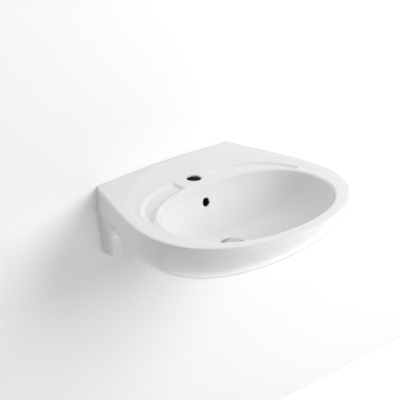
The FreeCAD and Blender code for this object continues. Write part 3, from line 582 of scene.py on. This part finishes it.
def new_mesh(name: str, vertices: Array, faces: Array) -> Piece:
    """A smooth mesh object at the origin, from whole arrays.

    Args:
        name: Name of the piece.
        vertices: Rows of x, y and z.
        faces: Rows of three or four vertex numbers.

    Returns:
        The linked object.
    """
    mesh = bpy.data.meshes.new(name)
    sides = faces.shape[1]
    mesh.vertices.add(len(vertices))
    mesh.vertices.foreach_set("co", np.ascontiguousarray(vertices, dtype=np.float32).ravel())
    mesh.loops.add(faces.size)
    mesh.loops.foreach_set("vertex_index", np.ascontiguousarray(faces, dtype=np.int32).ravel())
    mesh.polygons.add(len(faces))
    mesh.polygons.foreach_set("loop_start", np.arange(0, faces.size, sides, dtype=np.int32))
    mesh.polygons.foreach_set("use_smooth", np.ones(len(faces), dtype=bool))
    mesh.update(calc_edges=True)
    mesh.validate()
    return stand(name, mesh)


def thin_out(piece: Piece, most: int) -> None:
    """Collapse the edges that matter least, until at most so many triangles are left."""
    triangles = sum(len(polygon.vertices) - 2 for polygon in piece.data.polygons)
    if triangles <= most:
        return
    thinner = piece.modifiers.new("thinner", "DECIMATE")
    thinner.ratio = most / triangles
    depsgraph = bpy.context.evaluated_depsgraph_get()
    mesh = bpy.data.meshes.new_from_object(piece.evaluated_get(depsgraph))
    piece.modifiers.clear()
    old, piece.data = piece.data, mesh
    bpy.data.meshes.remove(old)


def settle(piece: Piece, form: Form, rounds: int = 2, most: float = 0.6 * MM) -> None:
    """Move each vertex onto the form's surface, and take its normals from the form.

    Formula: a step against the slope, as long as the distance that is left.

    Args:
        piece: The meshed form.
        form: Its signed distance.
        rounds: How many steps are taken.
        most: The longest step.
    """
    mesh = piece.data
    flat = np.empty(len(mesh.vertices) * 3, dtype=np.float32)
    mesh.vertices.foreach_get("co", flat)
    points = flat.reshape(-1, 3).astype(float)
    for _ in range(rounds):
        slope = slope_of(form, points)
        size = np.maximum(np.sum(slope * slope, axis=1), 0.25)
        step = slope * (form(points) / size)[:, None]
        length = np.linalg.norm(step, axis=1, keepdims=True)
        points -= step * np.minimum(1.0, most / np.maximum(length, TINY))
    mesh.vertices.foreach_set("co", points.astype(np.float32).ravel())
    slope = slope_of(form, points, 0.5 * MM)
    normals = slope / np.maximum(np.linalg.norm(slope, axis=1, keepdims=True), TINY)
    mesh.polygons.foreach_set("use_smooth", np.ones(len(mesh.polygons), dtype=bool))
    mesh.update()
    mesh.normals_split_custom_set_from_vertices(normals.tolist())


def stand_in(piece: Piece, node: str, materials: list[bpy.types.Material]) -> None:
    """Let a drawn piece take a CAD node's place on the basin.

    Args:
        piece: The piece.
        node: Name of the node that it stands for.
        materials: The piece's materials, in the order of their numbers on its faces.
    """
    for material in materials:
        piece.data.materials.append(material)
    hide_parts(node)
    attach(piece, "basin")
    log.info("%s: %d faces", piece.name, len(piece.data.polygons))


@dataclass
class Ceramic:
    """The basin's glazed body, drawn from its field in place of the plain solid."""

    casting: Casting
    cell: float = 2.6 * MM
    most_triangles: int = 190_000
    low: Spot = (-0.29, -0.48, -0.188)
    high: Spot = (0.29, 0.0, 0.016)
    shift: float = 0.137
    margin: int = 3

    def build(self, paints: "Paints") -> None:
        """Mesh the field, move it onto the surface, and glaze all but the hollow, which is darkened
        with painted shade, and the holes, which are painted near black as shade.
        """
        cell = self.cell * 1.0
        low = np.array(self.low) + self.shift * cell
        high = np.array(self.high) + np.array([0.0, self.margin * cell, 0.0])
        counts = np.ceil((high - low) / cell / 2).astype(int) * 2 + 1
        values = sample(self.casting.body, low, counts, cell)
        piece = new_mesh("glazed_body", *surface_net(values, low, cell))
        thin_out(piece, self.most_triangles)
        settle(piece, self.casting.body)
        faces = piece.data.polygons
        centres = np.empty(len(faces) * 3, dtype=np.float32)
        faces.foreach_get("center", centres)
        hollow, duct = self.casting.inside(centres.reshape(-1, 3).astype(float))
        stand_in(piece, "ceramic_basin", [paints.of(one) for one in (GLAZE, RAW_WITH_PAINTED_SHADE, PAINTED_SHADE)])
        # Painted shade: 2 is the near-black painted shade in the duct and holes, 1 the bare hollow
        # darkened with painted shade.
        number = np.where(duct, 2, np.where(hollow, 1, 0))
        faces.foreach_set("material_index", number.astype(np.int32))


# ---------------- finishes

class Make(Enum):
    """What a piece is made of, which settles how its shader is wired."""

    GLAZE = "glazed ceramic"
    METAL = "metal"
    POLYMER = "polymer"


@dataclass(frozen=True)
class Thread:
    """A screw thread that the surface relief shows on a plain upright cylinder."""

    centre: Spot
    pitch: float
    depth: float
    inner: float
    outer: float
    low: float
    high: float


@dataclass(frozen=True)
class Finish:
    """A surface: its colour, how much the colour and the gloss wander, and its relief."""

    name: str
    make: Make
    colour: Spot
    shade: Spot
    roughness: float
    wander: float
    grain: float
    relief: float
    thread: Thread | None = None


class Sheet:
    """A node tree with short ways to add and link nodes."""

    def __init__(self, tree: bpy.types.NodeTree) -> None:
        self.tree = tree

    def add(self, kind: str, inputs: dict | None = None, **settings) -> bpy.types.Node:
        """Add a node, set its properties, and set or link its inputs.

        Args:
            kind: The node's class.
            inputs: Values or output sockets by the input's name or number.
            settings: Properties by name.

        Returns:
            The node.
        """
        node = self.tree.nodes.new(kind)
        for name, setting in settings.items():
            setattr(node, name, setting)
        for key, given in (inputs or {}).items():
            if isinstance(given, Socket):
                self.tree.links.new(given, node.inputs[key])
            else:
                node.inputs[key].default_value = given
        return node

    def sum(self, kind: str, first, second=0.0, third=0.0) -> Socket:
        """One math node's result."""
        node = self.add("ShaderNodeMath", {0: first, 1: second, 2: third}, operation=kind)
        return node.outputs[0]

    def step(self, given, low: float, high: float, start: float = 0.0,
             end: float = 1.0) -> Socket:
        """A value carried from one range to another, held at its ends."""
        ends = {"Value": given, "From Min": low, "From Max": high, "To Min": start, "To Max": end}
        return self.add("ShaderNodeMapRange", ends).outputs[0]


def blank(block: bpy.types.ID) -> Sheet:
    """The emptied nodes of a material or a world."""
    block.use_nodes = True
    block.node_tree.nodes.clear()
    return Sheet(block.node_tree)


def grain_group() -> bpy.types.NodeTree:
    """Cloudy tone, fine grain and scattered pits, for every finish."""
    tree = bpy.data.node_groups.new("surface_grain", "ShaderNodeTree")
    for label, way, kind in (("Vector", "INPUT", "Vector"), ("Grain", "INPUT", "Float"),
                             ("Cloud", "OUTPUT", "Float"), ("Fine", "OUTPUT", "Float"),
                             ("Pits", "OUTPUT", "Float")):
        tree.interface.new_socket(label, in_out=way, socket_type="NodeSocket" + kind)
    sheet = Sheet(tree)
    given = sheet.add("NodeGroupInput").outputs
    spot, scale = given["Vector"], given["Grain"]
    cloud = sheet.add("ShaderNodeTexNoise", {
        "Vector": spot, "Scale": sheet.sum("DIVIDE", scale, 9.0), "Detail": 4.0, "Roughness": 0.55})
    fine = sheet.add("ShaderNodeTexNoise", {
        "Vector": spot, "Scale": scale, "Detail": 3.0, "Roughness": 0.5})
    pits = sheet.add("ShaderNodeTexVoronoi", {"Vector": spot, "Scale": scale})
    near = sheet.step(pits.outputs["Distance"], 0.04, 0.16, 1.0, 0.0)
    rare = sheet.step(cloud.outputs[0], 0.55, 0.7)
    sheet.add("NodeGroupOutput", {
        "Cloud": sheet.step(cloud.outputs[0], 0.3, 0.7), "Fine": fine.outputs[0],
        "Pits": sheet.sum("MULTIPLY", near, rare)})
    return tree


def thread_relief(sheet: Sheet, spot: Socket, thread: Thread) -> Socket:
    """The height of a screw thread round an upright axis, between two radii and two levels.

    Formula: a triangle wave of the height over the pitch plus the angle over a full turn.

    Args:
        sheet: The material's nodes.
        spot: The object's coordinates.
        thread: The thread.

    Returns:
        The height.
    """
    moved = sheet.add("ShaderNodeVectorMath", {0: spot, 1: thread.centre}, operation="SUBTRACT")
    across, along, up = sheet.add("ShaderNodeSeparateXYZ", {0: moved.outputs[0]}).outputs
    angle = sheet.sum("DIVIDE", sheet.sum("ARCTAN2", along, across), 2 * math.pi)
    turns = sheet.sum("ADD", sheet.sum("DIVIDE", up, thread.pitch), angle)
    ridge = sheet.sum("MULTIPLY", sheet.sum("PINGPONG", turns, 0.5), 2.0)
    reach = sheet.sum("SQRT", sheet.sum("ADD", sheet.sum("MULTIPLY", across, across),
                                        sheet.sum("MULTIPLY", along, along)))
    for kind, test, limit in (("GREATER_THAN", reach, thread.inner),
                              ("GREATER_THAN", up, thread.low),
                              ("LESS_THAN", reach, thread.outer), ("LESS_THAN", up, thread.high)):
        ridge = sheet.sum("MULTIPLY", ridge, sheet.sum(kind, test, limit))
    return sheet.sum("MULTIPLY", ridge, thread.depth)


def unglazed(sheet: Sheet, spot: Socket, wander: Socket) -> Socket:
    """Where the casting has no glaze: the face against the wall and the ends of its feet."""
    apart = sheet.add("ShaderNodeSeparateXYZ", {0: spot})
    edge = sheet.sum("MULTIPLY", sheet.sum("SUBTRACT", wander, 0.5), FRAY)
    back = sheet.step(sheet.sum("ADD", apart.outputs["Y"], edge), *BARE_BACK)
    foot = sheet.step(sheet.sum("ADD", apart.outputs["Z"], edge), *BARE_FOOT, 1.0, 0.0)
    return sheet.sum("MAXIMUM", back, foot)


@dataclass
class Paints:
    """Builds the shared grain once, and a material at each finish's first use."""

    grain: bpy.types.NodeTree = field(default_factory=grain_group)
    made: dict[str, bpy.types.Material] = field(default_factory=dict)

    def of(self, finish: Finish) -> bpy.types.Material:
        """The finish's material."""
        if finish.name not in self.made:
            self.made[finish.name] = self.build(finish)
        return self.made[finish.name]

    def mix(self, sheet: Sheet, share, first, second) -> Socket:
        """Two colours mixed by a share."""
        node = sheet.add("ShaderNodeMix", {0: share}, data_type="RGBA")
        for index, given in ((6, first), (7, second)):
            if isinstance(given, Socket):
                sheet.tree.links.new(given, node.inputs[index])
            else:
                node.inputs[index].default_value = (*given, 1.0)
        return node.outputs[2]

    def build(self, finish: Finish) -> bpy.types.Material:
        """One finish as a material on the object's own coordinates.

        Args:
            finish: The surface.

        Returns:
            The material.
        """
        material = bpy.data.materials.new(finish.name)
        sheet = blank(material)
        spot = sheet.add("ShaderNodeTexCoord").outputs["Object"]
        grain = sheet.add("ShaderNodeGroup", {"Vector": spot, "Grain": 1.0 / finish.grain},
                          node_tree=self.grain)
        cloud, fine, pits = grain.outputs

        colour = self.mix(sheet, cloud, finish.colour, finish.shade)
        gloss = sheet.step(cloud, 0.0, 1.0, finish.roughness - finish.wander,
                           finish.roughness + finish.wander)
        height = sheet.sum("MULTIPLY", fine, finish.relief)
        if finish.make is Make.GLAZE:
            bare = unglazed(sheet, spot, fine)
            colour = self.mix(sheet, bare, colour, BISCUIT)
            gloss = sheet.sum("ADD", sheet.sum("MULTIPLY", bare, 0.7), gloss)
            pores = sheet.sum("MULTIPLY", bare, PORE_DEPTH)
            height = sheet.sum("SUBTRACT", height, sheet.sum("MULTIPLY", pits, pores))
        elif finish.make is Make.METAL:
            height = sheet.sum("SUBTRACT", height, sheet.sum("MULTIPLY", pits, finish.relief))
        if finish.thread is not None:
            height = sheet.sum("ADD", height, thread_relief(sheet, spot, finish.thread))
        relief = sheet.add("ShaderNodeBump", {"Strength": 1.0, "Distance": 1.0, "Height": height})
        shader = sheet.add("ShaderNodeBsdfPrincipled", {
            **CONSTANTS[finish.make], "Base Color": colour, "Roughness": gloss,
            "Normal": relief.outputs[0]})
        sheet.add("ShaderNodeOutputMaterial", {"Surface": shader.outputs[0]})
        return material


CONSTANTS = {Make.GLAZE: {"IOR": 1.52}, Make.METAL: {"Metallic": 1.0}, Make.POLYMER: {"IOR": 1.49}}
BISCUIT = (0.80, 0.765, 0.70)
PORE_DEPTH = 0.15 * MM
FRAY = 0.6 * MM
BARE_BACK = (-0.9 * MM, -0.5 * MM)
BARE_FOOT = (-173.4 * MM, -173.0 * MM)

GLAZE = Finish("white_glaze", Make.GLAZE, (0.925, 0.929, 0.94), (0.908, 0.913, 0.926), 0.14, 0.02,
               9 * MM, 0.012 * MM)
# Bare ceramic of the cast hollow, darkened well below the biscuit colour as painted shade.
RAW_WITH_PAINTED_SHADE = Finish("raw_hollow_with_painted_shade", Make.POLYMER, (0.36, 0.35, 0.33), (0.31, 0.30, 0.28), 0.55, 0.08,
             2 * MM, 0.05 * MM)
# Painted shade: near black on the duct, the overflow hole's wall and the lower tap hole, in place
# of the shade inside them.
PAINTED_SHADE = Finish("painted_shade_duct", Make.POLYMER, (0.055, 0.052, 0.048), (0.035, 0.033, 0.031), 0.7, 0.08,
               2 * MM, 0.05 * MM)
CHROME = Finish("polished_chrome", Make.METAL, (0.78, 0.79, 0.80), (0.72, 0.73, 0.745), 0.07, 0.03,
                1.6 * MM, 0.002 * MM)
TAIL_THREAD = Thread(centre=(0.0, -0.245, 0.0), pitch=2.309 * MM, depth=1.2 * MM, inner=20.6 * MM,
                     outer=21.4 * MM, low=-185.0 * MM, high=-132.0 * MM)
TAIL = Finish("threaded_chrome", Make.METAL, (0.78, 0.79, 0.80), (0.70, 0.71, 0.72), 0.10, 0.03,
              1.6 * MM, 0.002 * MM, TAIL_THREAD)
RUBBER = Finish("black_rubber", Make.POLYMER, (0.022, 0.022, 0.024), (0.038, 0.038, 0.040), 0.62,
                0.10, 0.7 * MM, 0.03 * MM)
GREY_NYLON = Finish("grey_nylon", Make.POLYMER, (0.235, 0.245, 0.26), (0.205, 0.215, 0.23), 0.48,
                    0.07, 0.8 * MM, 0.02 * MM)
WHITE_NYLON = Finish("white_nylon", Make.POLYMER, (0.74, 0.74, 0.71), (0.69, 0.69, 0.665), 0.42,
                     0.07, 0.8 * MM, 0.02 * MM)
ACETAL = Finish("ivory_acetal", Make.POLYMER, (0.66, 0.655, 0.61), (0.61, 0.605, 0.565), 0.36, 0.06,
                0.8 * MM, 0.015 * MM)
ZINC = Finish("bright_zinc", Make.METAL, (0.56, 0.58, 0.60), (0.47, 0.485, 0.515), 0.30, 0.09,
              1.2 * MM, 0.012 * MM)
SPRING = Finish("spring_steel", Make.METAL, (0.50, 0.50, 0.49), (0.40, 0.40, 0.395), 0.26, 0.06,
                0.5 * MM, 0.006 * MM)


# ---------------- threaded and coiled pieces

def skin(rings: Array) -> tuple[Array, Array]:
    """A closed tube through a row of rings, with a fan of triangles at each end.

    Args:
        rings: One ring of points after the other: rings, points and coordinates.

    Returns:
        Vertices and triangles.
    """
    count, sides = rings.shape[:2]
    turn = np.arange(sides)
    following = np.roll(turn, -1)
    start = np.arange(count - 1)[:, None] * sides
    here, beside = start + turn, start + following
    last, first_end = (count - 1) * sides, np.full(sides, count * sides)
    faces = ((here, beside, beside + sides), (here, beside + sides, here + sides),
             (following, turn, first_end), (last + turn, last + following, first_end + 1))
    ends = np.stack([rings[0].mean(axis=0), rings[-1].mean(axis=0)])
    return (np.concatenate([rings.reshape(-1, 3), ends]),
            np.concatenate([np.stack(face, axis=-1).reshape(-1, 3) for face in faces]))


@dataclass
class HangerBolt:
    """A bolt with a coarse screw in its wall plug and a fine thread for its nut."""

    side: str
    sign: int
    radius: float = 5.0 * MM
    embed: float = 60.0 * MM
    reach: float = 38.0 * MM
    tip: float = 8.0 * MM
    blunt: float = 0.2 * MM
    coarse_pitch: float = 4.0 * MM
    coarse_depth: float = 1.0 * MM
    coarse_crest: float = 2.2
    fine_pitch: float = 1.5 * MM
    fine_depth: float = 0.85 * MM
    neck_depth: float = 0.7 * MM
    neck_half: float = 3.0 * MM
    sides: int = 32

    def profile(self, level: Array) -> tuple[Array, Array]:
        """The plain radius and the thread's depth at each level from the tip."""
        end, full = self.embed + self.reach, self.radius
        low, high = self.embed - self.neck_half, self.embed + self.neck_half
        bare = full - self.neck_depth
        plain = ((0.0, 0.0), (self.tip, full), (low - MM, full), (low, bare), (high, bare),
                 (high + MM, full), (end - MM, full), (end, full - MM))
        depth = ((0.0, 0.0), (self.tip, self.coarse_depth), (low - 5 * MM, self.coarse_depth),
                 (low - MM, 0.0), (high + MM, 0.0), (high + 2 * MM, self.fine_depth),
                 (end - 1.5 * MM, self.fine_depth), (end, 0.0))
        return np.interp(level, *zip(*plain)), np.interp(level, *zip(*depth))

    def build(self, casting: Casting, paints: Paints) -> None:
        """Wind both threads round the bolt's axis.

        Formula: the radius is the plain bolt's, less the thread's depth times a triangle wave of
        the length over the pitch plus the share of a turn.

        Args:
            casting: The ceramic, which says where the bolt stands.
            paints: Gives the bolt its material.
        """
        end, neck = self.embed + self.reach, self.embed - self.neck_half
        level = np.concatenate([np.arange(self.blunt, neck, self.coarse_pitch / 16),
                                np.arange(neck, end, self.fine_pitch / 10), [end]])
        plain, depth = self.profile(level)
        turn = np.arange(self.sides) / self.sides
        in_wall = level < self.embed
        phase = (level / np.where(in_wall, self.coarse_pitch, self.fine_pitch))[:, None] + turn
        wave = np.abs(2.0 * (phase - np.floor(phase)) - 1.0)
        valley = np.where(in_wall[:, None], np.minimum(1.0, self.coarse_crest * wave), wave)
        away = plain[:, None] - depth[:, None] * valley
        angle = 2 * math.pi * turn
        rings = np.stack([self.sign * casting.fixing_half_spacing + away * np.cos(angle),
                          np.repeat((self.embed - level)[:, None], self.sides, axis=1),
                          away * np.sin(angle) - casting.fixing_drop], axis=-1)
        piece = new_mesh("threaded_bolt_" + self.side, *skin(rings))
        stand_in(piece, "hanger_bolt_" + self.side, [paints.of(ZINC)])


@dataclass
class CoilSpring:
    """The spring under the plug's stem, with closed ends."""

    foot: float = -162.0 * MM
    top: float = -142.3 * MM
    wire: float = 0.45 * MM
    coil: float = 4.4 * MM
    turns: int = 6
    stroke: float = 6.5 * MM
    steps: int = 40
    sides: int = 10

    def build(self, casting: Casting, paints: Paints) -> None:
        """Wind the wire.

        Formula: a helix whose rise is the mean of a straight line and a smooth step, so its end
        turns lie nearly flat. Each ring of the wire stands square to the helix.

        Args:
            casting: The ceramic, which says where the drain is.
            paints: Gives the spring its material.
        """
        share = np.linspace(0.0, 1.0, self.turns * self.steps + 1)
        rise = (self.top - self.foot - 2 * self.wire) * (share + eased(share)) / 2.0
        angle = 2 * math.pi * self.turns * share
        out = np.stack([np.cos(angle), np.sin(angle), np.zeros_like(angle)], axis=-1)
        start = np.array([0.0, -casting.drain_reach, self.foot + self.wire])
        line = start + self.coil * out + rise[:, None] * np.array([0.0, 0.0, 1.0])
        way = np.gradient(line, axis=0)
        way /= np.linalg.norm(way, axis=1, keepdims=True)
        up = np.cross(way, out)
        turn = 2 * math.pi * np.arange(self.sides)[None, :, None] / self.sides
        ring = np.cos(turn) * out[:, None] + np.sin(turn) * up[:, None]
        piece = new_mesh("coil_spring", *skin(line[:, None] + self.wire * ring))
        stand_in(piece, "plug_spring", [paints.of(SPRING)])
        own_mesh(piece)


# ---------------- sub-assemblies

@dataclass
class SubAssembly:
    """Pieces that belong together, each with its finish."""

    name: str
    finishes: dict[str, Finish]

    def dress(self, nodes: dict[str, Piece], paints: Paints) -> None:
        """Give every piece its material.

        Args:
            nodes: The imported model's pieces by name.
            paints: Gives the materials.
        """
        for node, finish in self.finishes.items():
            piece = nodes[node]
            if not piece.material_slots:
                piece.data.materials.append(None)
            for place in piece.material_slots:
                place.material = paints.of(finish)
            log.info("%s / %s: %s", self.name, node, finish.name)


def wall_fixing(side: str) -> SubAssembly:
    """One hanger bolt with its plug, bush, washer and nut."""
    return SubAssembly("wall_fixing_" + side, {
        "wall_plug_" + side: GREY_NYLON, "hanger_bolt_" + side: ZINC,
        "bush_" + side: WHITE_NYLON, "washer_" + side: ZINC, "nut_" + side: ZINC})


WASTE = SubAssembly("waste", {
    "waste_body": TAIL, "flange_seal": RUBBER, "under_gasket": RUBBER, "slip_washer": WHITE_NYLON,
    "back_nut": CHROME})
CLICK_PLUG = SubAssembly("click_plug", {
    "cartridge_cup": ACETAL, "cartridge_collar": ACETAL, "plug_spring": SPRING,
    "plug_stem": ACETAL, "plug_cap": CHROME, "plug_ring": RUBBER})


# ---------------- stage, lamps and camera

@dataclass(frozen=True)
class Lamp:
    """A soft rectangular lamp that points at a spot, and that the glaze doesn't mirror."""

    name: str
    place: Spot
    target: Spot
    size: tuple[float, float]
    watts: float


def plane(name: str, corners: list[Spot]) -> Piece:
    """A flat stage object from its four corners."""
    mesh = bpy.data.meshes.new(name)
    mesh.from_pydata(corners, [], [tuple(range(len(corners)))])
    piece = stand(name, mesh)
    return piece


@dataclass
class Studio:
    """A white wall with the basin on it, a pale floor, soft lamps and the camera."""

    wall_gap: float = 0.6 * MM
    floor_drop: float = 0.85
    reach: float = 6.0
    ambient: float = 0.285
    wall_grey: float = 0.94
    wall_lift: float = 1.23
    floor_grey: float = 0.88
    floor_lift: float = 2.6
    lamps: tuple[Lamp, ...] = (
        Lamp("key", (1.65, -2.8, 1.8), (0.0, -0.2, -0.05), (2.8, 2.8), 81.5),
        Lamp("top", (-0.2, -1.1, 2.3), (0.0, -0.25, 0.0), (1.4, 0.9), 3.0))

    def surface(self, name: str, colour: float, lift: float) -> bpy.types.Material:
        """A matt stage material, clear from behind and to what nearly touches it.

        Args:
            name: Name of the material.
            colour: Its grey.
            lift: How many times paler rays from the camera, mirrors and clear pieces find it.

        Returns:
            The material.
        """
        material = bpy.data.materials.new(name)
        sheet = blank(material)
        rays = sheet.add("ShaderNodeLightPath")
        seen = rays.outputs["Is Camera Ray"]
        for label in ("Is Glossy Ray", "Is Transmission Ray"):
            seen = sheet.sum("MAXIMUM", seen, rays.outputs[label])
        tone = sheet.step(seen, 0.0, 1.0, colour, colour * lift)
        matt = sheet.add("ShaderNodeBsdfDiffuse", {"Color": tone})
        clear = sheet.add("ShaderNodeBsdfTransparent")
        behind = sheet.add("ShaderNodeNewGeometry").outputs["Backfacing"]
        touching = sheet.sum("LESS_THAN", rays.outputs["Ray Length"], 5 * self.wall_gap)
        mixed = sheet.add("ShaderNodeMixShader", {
            0: sheet.sum("MAXIMUM", behind, touching), 1: matt.outputs[0], 2: clear.outputs[0]})
        sheet.add("ShaderNodeOutputMaterial", {"Surface": mixed.outputs[0]})
        return material

    def build(self) -> None:
        """Stand the wall, the floor, the lamps and the world."""
        gap, far, low = self.wall_gap, self.reach, -self.floor_drop
        wall = plane("wall", [(-far, gap, low), (far, gap, low), (far, gap, far), (-far, gap, far)])
        wall.data.materials.append(self.surface("white_wall", self.wall_grey, self.wall_lift))
        floor = plane("floor", [(-far, -far, low), (far, -far, low), (far, far, low),
                                (-far, far, low)])
        floor.data.materials.append(self.surface("pale_floor", self.floor_grey, self.floor_lift))

        world = bpy.data.worlds.new("soft_room")
        sheet = blank(world)
        seen = sheet.add("ShaderNodeLightPath").outputs["Is Camera Ray"]
        strength = sheet.step(seen, 0.0, 1.0, self.ambient, 1.0)
        light = sheet.add("ShaderNodeBackground", {"Color": (1.0, 1.0, 1.0, 1.0),
                                                   "Strength": strength})
        sheet.add("ShaderNodeOutputWorld", {"Surface": light.outputs[0]})
        bpy.context.scene.world = world

        for lamp in self.lamps:
            light = bpy.data.lights.new(lamp.name, "AREA")
            light.shape = "RECTANGLE"
            light.size, light.size_y = lamp.size
            light.energy = lamp.watts
            rig = stand(lamp.name, light)
            rig.matrix_world = look(lamp.place, lamp.target)
            rig.visible_glossy = False
            log.info("lamp %s: %.0f W", lamp.name, lamp.watts)
        bpy.context.scene.view_settings.view_transform = "Standard"


def look(place: Spot, target: Spot, roll: float = 0.0) -> Matrix:
    """Where something stands that looks along its own -Z at a target."""
    way = Vector(target) - Vector(place)
    turned = way.to_track_quat("-Z", "Y").to_matrix().to_4x4()
    return Matrix.Translation(place) @ turned @ Matrix.Rotation(roll, 4, "Z")


@dataclass(frozen=True)
class Viewpoint:
    """The photograph's camera, found from the basin's outline."""

    azimuth: float = math.radians(41.29)
    elevation: float = math.radians(25.38)
    distance: float = 3.091
    target: Spot = (-0.0722, -0.2089, 0.0)
    lens: float = 124.0
    roll: float = math.radians(0.2)

    def build(self) -> None:
        """Place the camera and make it the scene's own."""
        camera = bpy.data.cameras.new("camera")
        camera.lens = self.lens
        rig = stand("camera", camera)
        flat = math.cos(self.elevation)
        back = Vector((-math.sin(self.azimuth) * flat, -math.cos(self.azimuth) * flat,
                       math.sin(self.elevation)))
        place = Vector(self.target) + back * self.distance
        rig.matrix_world = look(tuple(place), self.target, self.roll)
        bpy.context.scene.camera = rig


def main() -> None:
    """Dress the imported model, add the ceramic, and set the stage."""
    logging.basicConfig(level=logging.INFO, format="%(name)s: %(message)s")
    paints, casting = Paints(), Casting()
    Ceramic(casting).build(paints)
    for side, sign in (("left", -1), ("right", 1)):
        HangerBolt(side, sign).build(casting, paints)
    CoilSpring().build(casting, paints)
    for group in (wall_fixing("left"), wall_fixing("right"), WASTE, CLICK_PLUG):
        group.dress(frame["nodes"], paints)
    Studio().build()
    Viewpoint().build()


if __name__ == "__main__":
    main()
